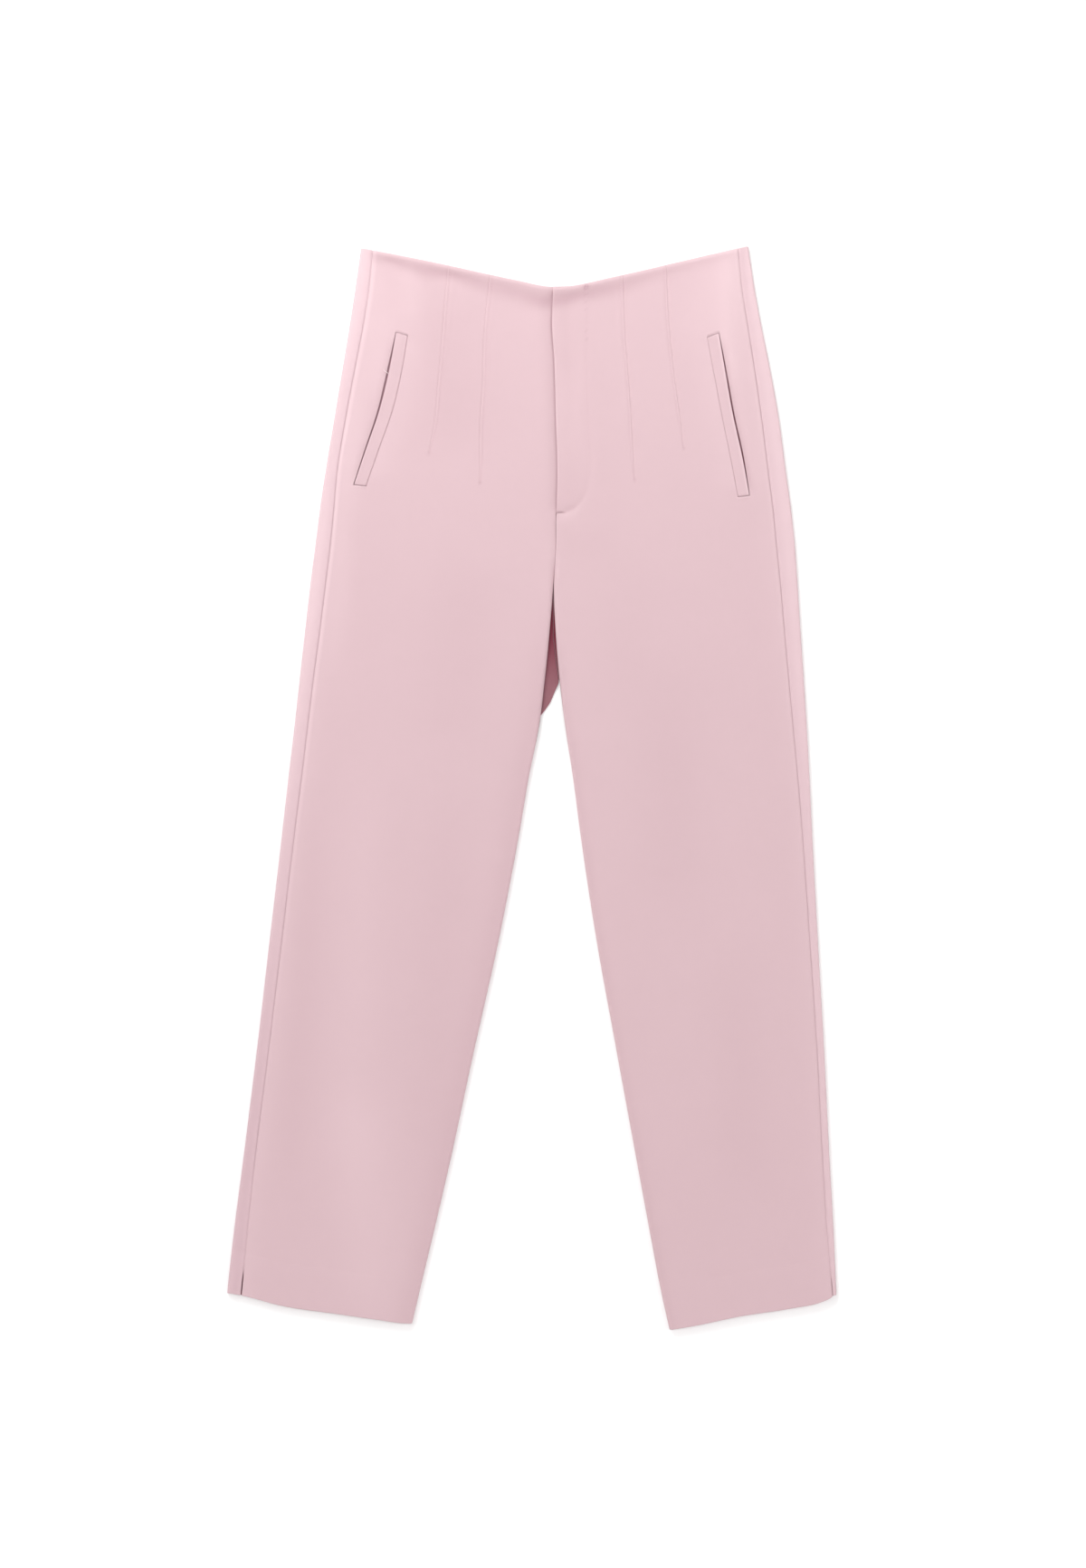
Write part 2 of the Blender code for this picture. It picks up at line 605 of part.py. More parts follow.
def build_pockets(parts):
    """Single welts over the pocket openings and the bags that hang behind them."""
    for leg in ("left", "right"):
        cloth = material("cloth_welt_" + leg, PINK, 0.85)
        shell("pocket_welt_" + leg, welt_points(leg), CLOTH_WALL, parts, cloth, leg == "right")
        lining = material("pocketing_" + leg, POCKETING, 0.9)
        shell("pocket_bag_" + leg, bag_points(leg), POCKETING_WALL, parts, lining, leg == "right")


def build_fly(parts):
    """Shield, zip with its slider, and the waist's hook and bar, all under the lap."""
    cloth = material("cloth_shield", PINK, 0.85)
    shield = rounded(SHIELD_X, SHIELD_Y, SHIELD_CORNER)
    flat_plate("fly_shield", shield, SHIELD_Z, parts, cloth)
    tape_half = (TAPE_X[1] - TAPE_X[0]) / 2
    chain_half = CHAIN_WIDTH / 2
    profile = ((-tape_half, TAPE_Z[0]), (tape_half, TAPE_Z[0]), (tape_half, TAPE_Z[1]),
               (chain_half, TAPE_Z[1]), (chain_half, CHAIN_TOP), (-chain_half, CHAIN_TOP),
               (-chain_half, TAPE_Z[1]), (-tape_half, TAPE_Z[1]))
    length = TAPE_Y[1] - TAPE_Y[0]
    tape = flat_plate("fly_zip", profile, (-length / 2, length / 2), parts,
                      material("zip_tape", TAPE_PINK, 0.8))
    tape.rotation_euler.x = math.pi / 2
    middle_x = sum(TAPE_X) / 2
    tape.location = (middle_x * MILLIMETRE, sum(TAPE_Y) / 2 * MILLIMETRE, 0.0)
    nickel = material("nickel_slider", NICKEL, 0.35, 1.0)
    slider = [(middle_x + x, SLIDER_Y + y) for x, y in SLIDER_OUTLINE]
    flat_plate("zip_slider", slider, SLIDER_Z, parts, nickel)
    for name, half, heights in (("waist_hook", HOOK_HALF, HOOK_Z), ("waist_bar", BAR_HALF, BAR_Z)):
        x_span = (HOOK_CENTRE[0] - half[0], HOOK_CENTRE[0] + half[0])
        y_span = (HOOK_CENTRE[1] - half[1], HOOK_CENTRE[1] + half[1])
        plate = rounded(x_span, y_span, PLATE_CORNER)
        flat_plate(name, plate, heights, parts, material("nickel_" + name, NICKEL, 0.35, 1.0))


def build():
    """Clear the scene and build the trousers."""
    for obj in list(bpy.data.objects):
        bpy.data.objects.remove(obj, do_unlink=True)
    parts = bpy.data.collections.new("carrot_fit_trousers")
    cutters = bpy.data.collections.new("cutters")
    bpy.context.scene.collection.children.link(parts)
    bpy.context.scene.collection.children.link(cutters)
    build_panels(parts, cutters)
    build_pockets(parts)
    build_fly(parts)


build()
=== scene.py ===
"""Looks of the carrot-fit trousers, laid flat with the fronts up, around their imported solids.

Lines and heights of the cloth are in millimetres and become metres when a mesh is made. +Y runs
from the hems to the waist, +X to the wearer's left, +Z up from the table.
"""

import logging
import math
from dataclasses import dataclass
from enum import Enum
from functools import cache, partial
from typing import Sequence

import bpy
import numpy as np
from bpy.types import Material, Node, NodeSocket, NodeTree, Object
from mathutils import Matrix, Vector


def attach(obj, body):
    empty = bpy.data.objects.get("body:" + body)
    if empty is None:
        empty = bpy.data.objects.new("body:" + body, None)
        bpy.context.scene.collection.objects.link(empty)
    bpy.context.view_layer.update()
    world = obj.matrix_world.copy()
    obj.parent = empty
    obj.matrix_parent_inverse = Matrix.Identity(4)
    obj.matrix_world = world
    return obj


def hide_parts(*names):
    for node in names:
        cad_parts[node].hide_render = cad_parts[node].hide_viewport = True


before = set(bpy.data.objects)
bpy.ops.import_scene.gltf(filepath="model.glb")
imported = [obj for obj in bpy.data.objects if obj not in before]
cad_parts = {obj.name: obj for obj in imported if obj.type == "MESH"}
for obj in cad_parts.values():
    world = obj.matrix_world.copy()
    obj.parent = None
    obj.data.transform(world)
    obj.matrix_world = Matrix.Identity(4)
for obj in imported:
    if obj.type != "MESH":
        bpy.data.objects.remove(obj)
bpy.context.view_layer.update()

LOG = logging.getLogger("trousers")
Array = np.ndarray
MILLIMETRE = 0.001
BODY = "root"


class Side(Enum):
    """The wearer's sides, with their direction along X."""

    RIGHT = -1.0
    LEFT = 1.0

    @property
    def word(self) -> str:
        """Name used in nodes and tables."""
        return self.name.lower()


# ---------- Lines of the garment ----------


def curve_through(knots: Sequence[float], values: Sequence[float], at: Array) -> Array:
    """Smooth curve through the knots: cubic pieces whose slopes are the knots' own.

    Args:
        knots: Places of the knots, in any order.
        values: Value at each knot.
        at: Places to read.

    Returns:
        The curve's value at each place.
    """
    order = np.argsort(knots)
    knots = np.asarray(knots, float)[order]
    values = np.asarray(values, float)[order]
    slopes = np.gradient(values, knots)
    at = np.clip(at, knots[0], knots[-1])
    piece = np.clip(np.searchsorted(knots, at) - 1, 0, len(knots) - 2)
    span = knots[piece + 1] - knots[piece]
    s = (at - knots[piece]) / span
    start = (1 + 2 * s) * (1 - s) ** 2 * values[piece]
    start_slope = s * (1 - s) ** 2 * span * slopes[piece]
    end = s ** 2 * (3 - 2 * s) * values[piece + 1]
    end_slope = s ** 2 * (s - 1) * span * slopes[piece + 1]
    return start + start_slope + end + end_slope


@dataclass(frozen=True)
class Table:
    """A short table with named columns, read at places of its first one."""

    columns: tuple[str, ...]
    rows: tuple[tuple[float, ...], ...]

    def column(self, name: str) -> Array:
        """One named column."""
        return np.array(self.rows)[:, self.columns.index(name)]

    def straight(self, name: str, at: Array) -> Array:
        """A named column, with straight runs between the rows."""
        knots = self.column(self.columns[0])
        order = np.argsort(knots)
        return np.interp(at, knots[order], self.column(name)[order])

    def smooth(self, name: str, at: Array) -> Array:
        """A named column, along a smooth curve through the rows."""
        return curve_through(self.column(self.columns[0]), self.column(name), at)


# A row for each section across the garment: the outseam folds, the side seams and the inner
# edges, which above the crotch are the centre front.
SECTIONS = Table(("y", "right_outer", "right_seam", "right_inner",
                  "left_inner", "left_seam", "left_outer"), (
    (500, -158.5, -147.6, 19.3, 19.3, 191.6, 201.3),
    (464, -163.4, -150.9, 19.3, 19.3, 195, 206.6),
    (430, -168.6, -156, 18.3, 18.3, 200.2, 212.8),
    (396, -174.3, -162.6, 20.4, 20.4, 205.6, 219.7),
    (345, -182.7, -172.1, 21.8, 21.8, 213, 228.9),
    (295, -191, -180.2, 23.3, 23.3, 219.2, 235.6),
    (258, -196.5, -183.5, 22.6, 22.6, 223.9, 240.6),
    (228, -200.3, -186.4, 22.6, 22.6, 226.8, 243.8),
    (186, -205.6, -191.5, 20.1, 20.3, 231, 246.8),
    (144, -210.4, -196.7, 16.8, 22, 234.6, 249.4),
    (102, -215.1, -202.3, 12.6, 25.5, 238.4, 252.2),
    (60, -219.7, -207.4, 7.4, 30.6, 242.2, 254.9),
    (10, -225.6, -213.3, -2.6, 38.2, 246.8, 257.6),
    (-41, -231.4, -219.8, -11.3, 44.9, 251, 260),
    (-142, -243.2, -231.8, -30.7, 60.2, 258, 265.4),
    (-243, -254.9, -243.9, -53.3, 78.5, 264.7, 271.2),
    (-344, -267.5, -256.5, -75.1, 97, 269.9, 276.2),
    (-411, -276.2, -263.6, -90.6, 109.4, 274.1, 280),
    (-470, -282.7, -269.5, -104.7, 120.6, 279.3, 282.7),
    (-504, -286, -273, -112.6, 128.2, 282, 284.6),
))

EDGE_COLUMNS = ("x", "y")
WAIST_EDGE = Table(EDGE_COLUMNS, (
    (-159, 500.7), (-90, 487), (-17, 471.2), (18, 464.5), (30, 464.5),
    (77, 473.8), (140, 488.3), (201, 502.4)))
HEMS = {
    Side.RIGHT: Table(EDGE_COLUMNS, (
        (-283, -466.8), (-269, -469.2), (-231, -478.9), (-181, -486.2),
        (-141, -491.9), (-121, -494.8), (-110, -495.5))),
    Side.LEFT: Table(EDGE_COLUMNS, (
        (128, -501.3), (152, -497.2), (192, -488.8), (242, -481),
        (267, -475.9), (276.5, -471.9), (283, -466.8))),
}

# How far the inner edges are rolled down, in degrees, and how high the cloth lies there.
ROLLS = Table(("y", "right_turn", "left_turn", "height"), (
    (500, 0, 0, 5.4),
    (245, 0, 0, 5.4),
    (228, 6, 6, 5.4),
    (200, 48, 48, 5.4),
    (173, 80, 80, 5.4),
    (150, 90, 90, 5.3),
    (88, 90, 90, 5.1),
    (70, 90, 150, 5),
    (60, 90, 150, 5),
    (42, 150, 150, 4.9),
    (10, 150, 150, 4.8),
    (-504, 150, 150, 4.8),
))

# The backs' inner boundary: the centre back seam, then the lower edge of the crotch.
SEAT = Table(("y", "right", "left", "right_leg_share", "left_leg_share"), (
    (500, 20, 20, 0, 0),
    (140, 20, 20, 0, 0),
    (118, 22.6, 22.6, 0, 0),
    (99, 25.6, 25.6, 0, 0),
    (88, 20.8, 28, 0, 0.7),
    (80, 17.6, 29, 0, 1),
    (70, 10.8, 29, 0, 1),
    (60, 4.5, 29, 1, 1),
    (-504, 4.5, 29, 1, 1),
))

# How far the left front is raised over the right one, and the right one's underlap.
LAYER_STEP = 1.5
UNDERLAP = 4.0
SEAM_GAP = 0.3
FLY = Table(("y", "rise", "underlap"), (
    (500, LAYER_STEP, UNDERLAP),
    (266, LAYER_STEP, UNDERLAP),
    (254, LAYER_STEP, -SEAM_GAP / 2),
    (241, LAYER_STEP, -SEAM_GAP / 2),
    (214, 0, -SEAM_GAP / 2),
    (-504, 0, -SEAM_GAP / 2),
))

# Pocket welts: outer folded edge, inner seam and the mouth that gapes beside the outer edge.
WELT_COLUMNS = ("outer_x", "outer_y", "inner_x", "inner_y", "mouth")
WELTS = {
    Side.RIGHT: Table(WELT_COLUMNS, (
        (-125.2, 422.4, -114.8, 419.2, 0.7),
        (-131.6, 387, -120.6, 385, 2.3),
        (-140.6, 350.5, -129, 349.5, 2),
        (-152.6, 315.5, -141.2, 315, 1.5),
        (-164.2, 281.4, -153.3, 280.2, 1),
    )),
    Side.LEFT: Table(WELT_COLUMNS, (
        (173, 421.4, 162.6, 417.8, 0.8),
        (179.1, 385, 169, 383.5, 1.8),
        (186.2, 346, 176.2, 345.4, 1.8),
        (194.2, 310, 183.6, 309.5, 1.8),
        (201.4, 271.6, 191.2, 270.2, 0.8),
    )),
}


def ease(share: Array) -> Array:
    """Smooth step from 0 to 1, level at both ends: 3 s squared less 2 s cubed."""
    share = np.clip(share, 0, 1)
    return share ** 2 * (3 - 2 * share)


def bell(distance: Array, half_width: float) -> Array:
    """Bell curve: 1 at distance 0, a third at half_width."""
    return np.exp(-(distance / half_width) ** 2)


def graded(count: int, pull: float = 0.8) -> Array:
    """Shares from 0 to 1, drawn close together at both ends by a sine of the share."""
    share = np.linspace(0, 1, count + 1)
    return share - pull * np.sin(2 * np.pi * share) / (2 * np.pi)


@dataclass(frozen=True)
class Run:
    """A smooth step from 0 at its start to 1 a length further on, or back with a minus."""

    start: float
    length: float

    def at(self, place: Array) -> Array:
        """Share of the step that is done at a place."""
        return ease((place - self.start) / self.length)


@dataclass(frozen=True)
class Ridge:
    """A ridge along a line or, with a minus, a groove: a bell across it, a little way off.

    Its height is in millimetres, or in steps of painted light and shade.
    """

    height: float
    offset: float
    half_width: float

    def at(self, distance: Array) -> Array:
        """Its height at a distance from the line."""
        return self.height * bell(distance - self.offset, self.half_width)


def section(side: Side, line: str, y: Array) -> Array:
    """X of one side's outer fold, side seam or inner edge at the height y."""
    return SECTIONS.smooth(f"{side.word}_{line}", y)


def from_inner(side: Side, x: Array, y: Array) -> Array:
    """Distance from the inner edge, towards the outseam."""
    return side.value * (x - section(side, "inner", y))


def from_outer(side: Side, x: Array, y: Array) -> Array:
    """Distance from the outer fold, towards the centre."""
    return side.value * (section(side, "outer", y) - x)


def from_seam(side: Side, x: Array, y: Array) -> Array:
    """Distance from the side seam, towards the centre."""
    return side.value * (section(side, "seam", y) - x)


def waist_y(x: Array) -> Array:
    """Height of the waist edge at x."""
    return WAIST_EDGE.smooth("y", x)


def hem_y(side: Side, x: Array) -> Array:
    """Height of one leg's hem at x."""
    return HEMS[side].smooth("y", x)


def welt_line(side: Side, name: str, share: Array) -> Array:
    """A named column of a welt's table at a share of its length, top to bottom."""
    values = WELTS[side].column(name)
    return curve_through(np.linspace(0, 1, len(values)), values, share)


def welt_edge(side: Side, edge: str, share: Array) -> Array:
    """Plan points of a welt's outer or inner edge at shares of its length."""
    return np.stack([welt_line(side, edge + end, share) for end in ("_x", "_y")], axis=-1)


def outside_welt(side: Side, edge: str, x: Array, y: Array) -> Array:
    """Distance along X from a long edge of the welt, towards the outseam."""
    xs, ys = (WELTS[side].column(edge + end) for end in ("_x", "_y"))
    return side.value * (x - curve_through(ys, xs, y))


# ---------- Form of the laid cloth ----------

# Cloth walls
CLOTH = 0.9
HEM_CLOTH = 1.3
LAP_CLOTH = 1.5
LAP_SET_BACK = 1.2
WELT_CLOTH = 1.1
POCKETING_CLOTH = 0.6
SEWN_GAP = 0.08

# Heights of the upper side above the table, and how far its edges ease down
BODY_HEIGHT = 5.0
OUTER_FOLD_HEIGHT = 4.5
OUTER_SHOULDER = 12.0
INNER_SHOULDER = 13.0

# Rolls of the inner folds
LEG_TURN = 150.0
WEB_TURN = 90.0
WEB_CLEARANCE = 1.6
FLATTEST_TURN = 0.1
BACK_TURN = 5.0
SEAM_RUN = 1.0

# Rows of the panels: level in the middle, drawn to the waist edge and to the hems
WAIST_ROW = 500.0
HIP_ROW = 306.0
SHIN_ROW = -345.0
HEM_ROW = -470.0

# The centre front: where its seam opens into the fly, and where the lap's folded edge starts
FLY_FOOT = 256.0
CENTRE_SEAM_TOP = Run(205, 20)
LAP_START = Run(248, 10)

HEM_DEPTH = 38.0
SIDE_SLIT_LENGTH = 28.0
SIDE_SLIT_WIDTH = {Side.RIGHT: 1.5, Side.LEFT: 0.8}


@dataclass(frozen=True)
class Fold:
    """A soft fold of the laid cloth: a straight ridge or, with a minus, a trough.

    Heights are in millimetres; the half width is where a bell across the fold is down to a third.
    """

    x_top: float
    y_top: float
    x_low: float
    y_low: float
    half_width: float
    height: float
    taper: float = 0.3

    def at(self, x: Array, y: Array) -> Array:
        """Height of the fold: a bell across it, eased to nothing over a third at each end."""
        run_x = self.x_low - self.x_top
        run_y = self.y_low - self.y_top
        length = math.hypot(run_x, run_y)
        along = ((x - self.x_top) * run_x + (y - self.y_top) * run_y) / length ** 2
        across = ((x - self.x_top) * run_y - (y - self.y_top) * run_x) / length
        taper = ease(along / self.taper) * ease((1 - along) / self.taper)
        return self.height * taper * bell(across, self.half_width)


# Each fold's height also paints light along its ridge, or shade along its trough, into the fronts'
# colour.
FOLDS = {
    Side.RIGHT: (
        Fold(-150, 70, -174, -440, 24, 0.75),
        Fold(-200, 20, -228, -430, 15, -0.6),
        Fold(-66, 30, -104, -410, 24, -0.5),
        Fold(-158, -250, -146, -540, 32, 1.1),
        Fold(-146, 486, -112, 380, 20, 0.8),
        Fold(-136, 425, -172, 255, 13, 0.5),
        Fold(-158, 410, -184, 70, 11, 0.9),
        Fold(-112, 520, -108, 410, 12, 0.9),
        Fold(-140, 450, -142, 350, 14, 0.7),
        Fold(-76, 476, -70, 290, 42, -0.8),
        Fold(-50, 230, -84, 10, 34, -0.6),
    ),
    Side.LEFT: (
        Fold(124, 150, 134, -150, 32, -0.6),
        Fold(190, 120, 214, -300, 30, 0.1),
        Fold(190, -120, 200, -420, 26, -0.5),
        Fold(178, 500, 150, 395, 22, 0.9),
        Fold(184, 540, 184, 340, 13, 1.6),
        Fold(34, 520, 30, 360, 16, -0.6),
        Fold(186, 425, 208, 255, 13, 0.4),
        Fold(90, 250, 84, 40, 30, -0.3),
    ),
}


def follow_edges(row: Array, x: Array, side: Side) -> Array:
    """Height of a row at x: level in the middle, drawn to the waist edge and the hem.

    Args:
        row: The row's height at the garment's sides.
        x: Place across the garment.
        side: The wearer's side, whose hem the lowest rows follow.

    Returns:
        Height in the plan of each row at each x.
    """
    up = (waist_y(x) - HIP_ROW) / (WAIST_ROW - HIP_ROW)
    down = (SHIN_ROW - hem_y(side, x)) / (SHIN_ROW - HEM_ROW)
    y = np.where(row > HIP_ROW, HIP_ROW + (row - HIP_ROW) * up, row)
    return np.where(row < SHIN_ROW, SHIN_ROW - (SHIN_ROW - row) * down, y)


def inner_roll(side: Side, y: Array) -> tuple[Array, Array, Array]:
    """Roll along a front's inner edge.

    Down to the crotch it is a web that turns a right angle down to the backs, and along a leg
    it turns round the inner fold to the inseam. The radius is the roll's length over its turn.

    Args:
        side: The wearer's side.
        y: Heights in the plan.

    Returns:
        Turn in radians, radius, and X of the line where the roll starts.
    """
    turn_degrees = ROLLS.straight(side.word + "_turn", y)
    height = ROLLS.straight("height", y)
    turn = np.radians(np.maximum(turn_degrees, FLATTEST_TURN))
    web_length = (height - WEB_CLEARANCE) * math.radians(WEB_TURN)
    leg_length = height / 2 * math.radians(LEG_TURN)
    share = np.clip((turn_degrees - WEB_TURN) / (LEG_TURN - WEB_TURN), 0, 1)
    radius = (web_length + (leg_length - web_length) * share) / turn
    reach = radius * np.sin(np.minimum(turn, math.pi / 2))
    underlap = -SEAM_GAP / 2 + (SEAM_GAP - SEWN_GAP) / 2 * CENTRE_SEAM_TOP.at(y)
    if side is Side.RIGHT:
        underlap = np.maximum(underlap, FLY.straight("underlap", y))
    else:
        underlap = underlap - LAP_SET_BACK * LAP_START.at(y)
    edge = section(side, "inner", y) - side.value * underlap
    return turn, radius, edge + side.value * reach


def seam_edge(side: Side, y: Array, hem: Array, sign_out: float) -> Array:
    """Edge of a panel along the side seam: half a gap from it, wider in the hem's slit.

    Args:
        side: The wearer's side.
        y: Heights in the plan.
        hem: Height of the hem there.
        sign_out: 1 for the back, which lies outside the seam, and -1 for the front.

    Returns:
        X of the panel's edge.
    """
    slit = ease((hem + SIDE_SLIT_LENGTH - y) / (SIDE_SLIT_LENGTH / 2))
    gap = SEWN_GAP + (SIDE_SLIT_WIDTH[side] - SEWN_GAP) * slit
    return section(side, "seam", y) + sign_out * side.value * gap / 2


def base_height(side: Side, x: Array, y: Array) -> Array:
    """Height of the upper side: level with its soft folds, and eased down to both edges."""
    height = BODY_HEIGHT + sum(fold.at(x, y) for fold in FOLDS[side])
    inner_height = ROLLS.straight("height", y)
    share = ease((from_inner(side, x, y) - inner_height) / INNER_SHOULDER)
    height = inner_height + (height - inner_height) * share
    share = ease((from_outer(side, x, y) - OUTER_FOLD_HEIGHT / 2) / OUTER_SHOULDER)
    return OUTER_FOLD_HEIGHT + (height - OUTER_FOLD_HEIGHT) * share


# ---------- Relief and tone of the upper side ----------


class Feature:
    """Something sewn or pressed into the upper side, which changes its height and painted shading.

    Both methods take the wearer's side and places in the plan. Reliefs are in millimetres.
    Tones are in steps of painted light and shade: about 1 on a ridge and -1 in a trough.
    """

    def relief(self, side: Side, x: Array, y: Array) -> Array | float:
        """Height that it adds: none."""
        return 0.0

    def tone(self, side: Side, x: Array, y: Array) -> Array | float:
        """Painted light and shade that it adds: none."""
        return 0.0


@dataclass(frozen=True)
class EdgeTone:
    """How much painted light one side's edges get, or painted shade with a minus."""

    inner_reach: float
    inner: float
    seam_rim: float
    seam_wide: float
    strip_high: float
    strip_low: float
    mouth: float
    welt_wide: float


# Painted light and shade beside each side's edges.
EDGE_PAINTED_SHADING = {
    Side.RIGHT: EdgeTone(inner_reach=15.0, inner=-1.2, seam_rim=3.4, seam_wide=0.7,
                         strip_high=2.3, strip_low=-2.3, mouth=-1.8, welt_wide=0.9),
    Side.LEFT: EdgeTone(inner_reach=5.0, inner=-0.9, seam_rim=0.8, seam_wide=0.6,
                        strip_high=1.5, strip_low=0.7, mouth=-2.6, welt_wide=0.8),
}

# Troughs under the rolled waist edge: how far below the edge, how wide and how strong.
WAIST_DIPS = Table(("x", "below", "half_width", "strength"), (
    (-159, 6, 5, 0.30),
    (-132, 5.5, 5, 0.85),
    (-99, 9.5, 8, 0.90),
    (-74, 7.5, 5, 1.00),
    (-40, 10, 9, 0.70),
    (-10, 12, 9, 0.80),
    (10, 14, 8, 1.00),
    (44, 9.5, 6.5, 1.00),
    (78, 11, 8, 0.75),
    (111, 7.5, 7, 0.45),
    (153, 6, 6, 0.15),
    (201, 6, 6, 0.05),
))


@dataclass(frozen=True)
class WaistRoll(Feature):
    """The waist's rolled edge: a low rounded rim, and below it a trough of uneven depth."""

    rim: Ridge = Ridge(0.45, 3, 2.8)
    trough_depth: float = 1.0
    underlap: Run = Run(0, 3)
    outseam: Run = Run(0, 9)
    rim_light: Ridge = Ridge(1.6, 0.5, 1.8)
    trough_shade: float = 3.8

    def trough(self, x: Array, y: Array) -> Array:
        """Strength of the trough, a bell across it."""
        below, half_width, strength = (WAIST_DIPS.straight(name, x)
                                       for name in WAIST_DIPS.columns[1:])
        return strength * bell(waist_y(x) - y - below, half_width)

    def relief(self, side: Side, x: Array, y: Array) -> Array:
        """Rim less trough, both level at the outseam and on the right front's underlap."""
        relief = self.rim.at(waist_y(x) - y) - self.trough_depth * self.trough(x, y)
        if side is Side.RIGHT:
            relief = relief * (1 - self.underlap.at(from_inner(Side.LEFT, x, y)))
        return relief * self.outseam.at(from_outer(side, x, y))

    def tone(self, side: Side, x: Array, y: Array) -> Array:
        """Light along the rim, and shade in the trough."""
        return self.rim_light.at(waist_y(x) - y) - self.trough_shade * self.trough(x, y)


@dataclass(frozen=True)
class TurnedHem(Feature):
    """A turned hem: a little thicker over its depth, with a faint groove along its top."""

    thickness: float = 0.16
    top: Run = Run(HEM_DEPTH, 2.5)
    groove: Ridge = Ridge(-0.18, HEM_DEPTH + 1.5, 1.6)

    def relief(self, side: Side, x: Array, y: Array) -> Array:
        """The thicker hem and its groove, by the height above its edge."""
        above = y - hem_y(side, x)
        return self.thickness * (1 - self.top.at(above)) + self.groove.at(above)


@dataclass(frozen=True)
class SideSeam(Feature):
    """A side seam: the cloth rounds down into it on both sides, with slight puckers along it."""

    groove: Ridge = Ridge(-0.42, 0, 0.7)
    shoulder: Ridge = Ridge(0.10, 2.4, 1.6)
    pucker: Ridge = Ridge(0.06, 2.2, 2)
    rim: Ridge = Ridge(1, 2.2, 1.3)
    rim_fade: Run = Run(-330, 600)
    wide: Ridge = Ridge(1, 0, 12)
    shade: Ridge = Ridge(-1.5, 0, 0.6)
    strip_shade: Ridge = Ridge(-1, 0, 0.9)
    strip_low: Ridge = Ridge(1, 6, 7)
    strip_reach: Run = Run(0, 11)
    strip_fade: Run = Run(-350, 550)

    def relief(self, side: Side, x: Array, y: Array) -> Array:
        """Groove, shoulders, and puckers in a sine wave that a slower one bends."""
        off = np.abs(from_seam(side, x, y))
        wave = np.sin(y / 3.1 + 1.3 * np.sin(y / 17.0))
        return self.groove.at(off) + self.shoulder.at(off) + self.pucker.at(off) * wave

    def tone(self, side: Side, x: Array, y: Array) -> Array:
        """Painted light along a rim on the front, which fades down the leg, and painted shade in
        the seam.
        """
        off, edge = from_seam(side, x, y), EDGE_PAINTED_SHADING[side]
        rim = edge.seam_rim * self.rim_fade.at(y) * self.rim.at(off)
        return rim + edge.seam_wide * self.wide.at(off) + self.shade.at(off)

    def strip_tone(self, side: Side, x: Array, y: Array) -> Array:
        """Painted light and shade of the back's strip: lighter out to its fold high up, and
        another low down.
        """
        off, edge = -from_seam(side, x, y), EDGE_PAINTED_SHADING[side]
        high = self.strip_fade.at(y)
        strip = edge.strip_high * high * self.strip_reach.at(off)
        strip = strip + edge.strip_low * (1 - high) * self.strip_low.at(off)
        return strip + self.strip_shade.at(off)


@dataclass(frozen=True)
class PocketEdge(Feature):
    """The front beside its welt, which dips towards the gaping mouth."""

    ends: float = 16.0
    lip: float = 1.5
    dip: Ridge = Ridge(-0.55, 0, 3.5)
    mouth: Ridge = Ridge(1, 1, 4)
    wide: Ridge = Ridge(1, 0, 18)

    def share(self, side: Side, y: Array) -> Array:
        """1 beside the pocket, eased to nothing at its two ends."""
        ys = (WELTS[side].column("outer_y") + WELTS[side].column("inner_y")) / 2
        return ease((y - ys[-1]) / self.ends) * ease((ys[0] - y) / self.ends)

    def relief(self, side: Side, x: Array, y: Array) -> Array:
        """A dip beyond the mouth's lip, by the distance from the welt's outer edge."""
        off = outside_welt(side, "outer", x, y)
        return self.share(side, y) * self.dip.at(np.maximum(off - self.lip, 0)) * (off > 0)

    def tone(self, side: Side, x: Array, y: Array) -> Array:
        """Painted shade outside the mouth, and painted light inside the welt."""
        edge = EDGE_PAINTED_SHADING[side]
        from_mouth = outside_welt(side, "outer", x, y)
        from_welt = -outside_welt(side, "inner", x, y)
        mouth = edge.mouth * self.mouth.at(from_mouth) * (from_mouth > 0)
        return self.share(side, y) * (mouth + edge.welt_wide * self.wide.at(from_welt)
                                      * ease(from_welt))


@dataclass(frozen=True)
class FlyLap(Feature):
    """The left front raised over the right one, and the right one pressed down beside it."""

    rise_share: float = 1.45
    slope: Run = Run(19, 43)
    pressed: Ridge = Ridge(-0.45, 0, 7)
    foot: Run = Run(FLY_FOOT - 6, 14)
    shade: Ridge = Ridge(-0.8, 0, 9)
    crease: float = 3.2
    crease_deeper: Ridge = Ridge(2.4, 428, 10)
    crease_half_width: float = 1.0
    crease_top: Run = Run(1, 5)
    edge_light: Ridge = Ridge(1, 1, 1.2)
    edge_foot: Run = Run(FLY_FOOT, 10)

    def rise(self, side: Side, x: Array, y: Array) -> Array:
        """How far the left front is raised along the fly, level and then sloping down."""
        if side is Side.RIGHT:
            return np.zeros(np.broadcast(x, y).shape)
        share = 1 - self.slope.at(from_inner(side, x, y))
        return self.rise_share * FLY.straight("rise", y) * share

    def relief(self, side: Side, x: Array, y: Array) -> Array:
        """The left front's rise, or the dip beside the lap down to its foot."""
        if side is Side.LEFT:
            return self.rise(side, x, y)
        off = np.maximum(-from_inner(Side.LEFT, x, y), 0)
        return self.pressed.at(off) * self.foot.at(y)

    def tone(self, side: Side, x: Array, y: Array) -> Array:
        """Painted light on the lap's folded edge, and painted shade beside it, darkest along a
        crease.
        """
        if side is Side.LEFT:
            off = np.maximum(from_inner(side, x, y), 0)
            return self.edge_light.at(off) * self.edge_foot.at(y)
        off = np.maximum(-from_inner(Side.LEFT, x, y), 0)
        crease = (self.crease + self.crease_deeper.at(y)) * self.crease_top.at(waist_y(x) - y)
        return (self.shade.at(off) - crease * bell(off, self.crease_half_width)) * self.foot.at(y)


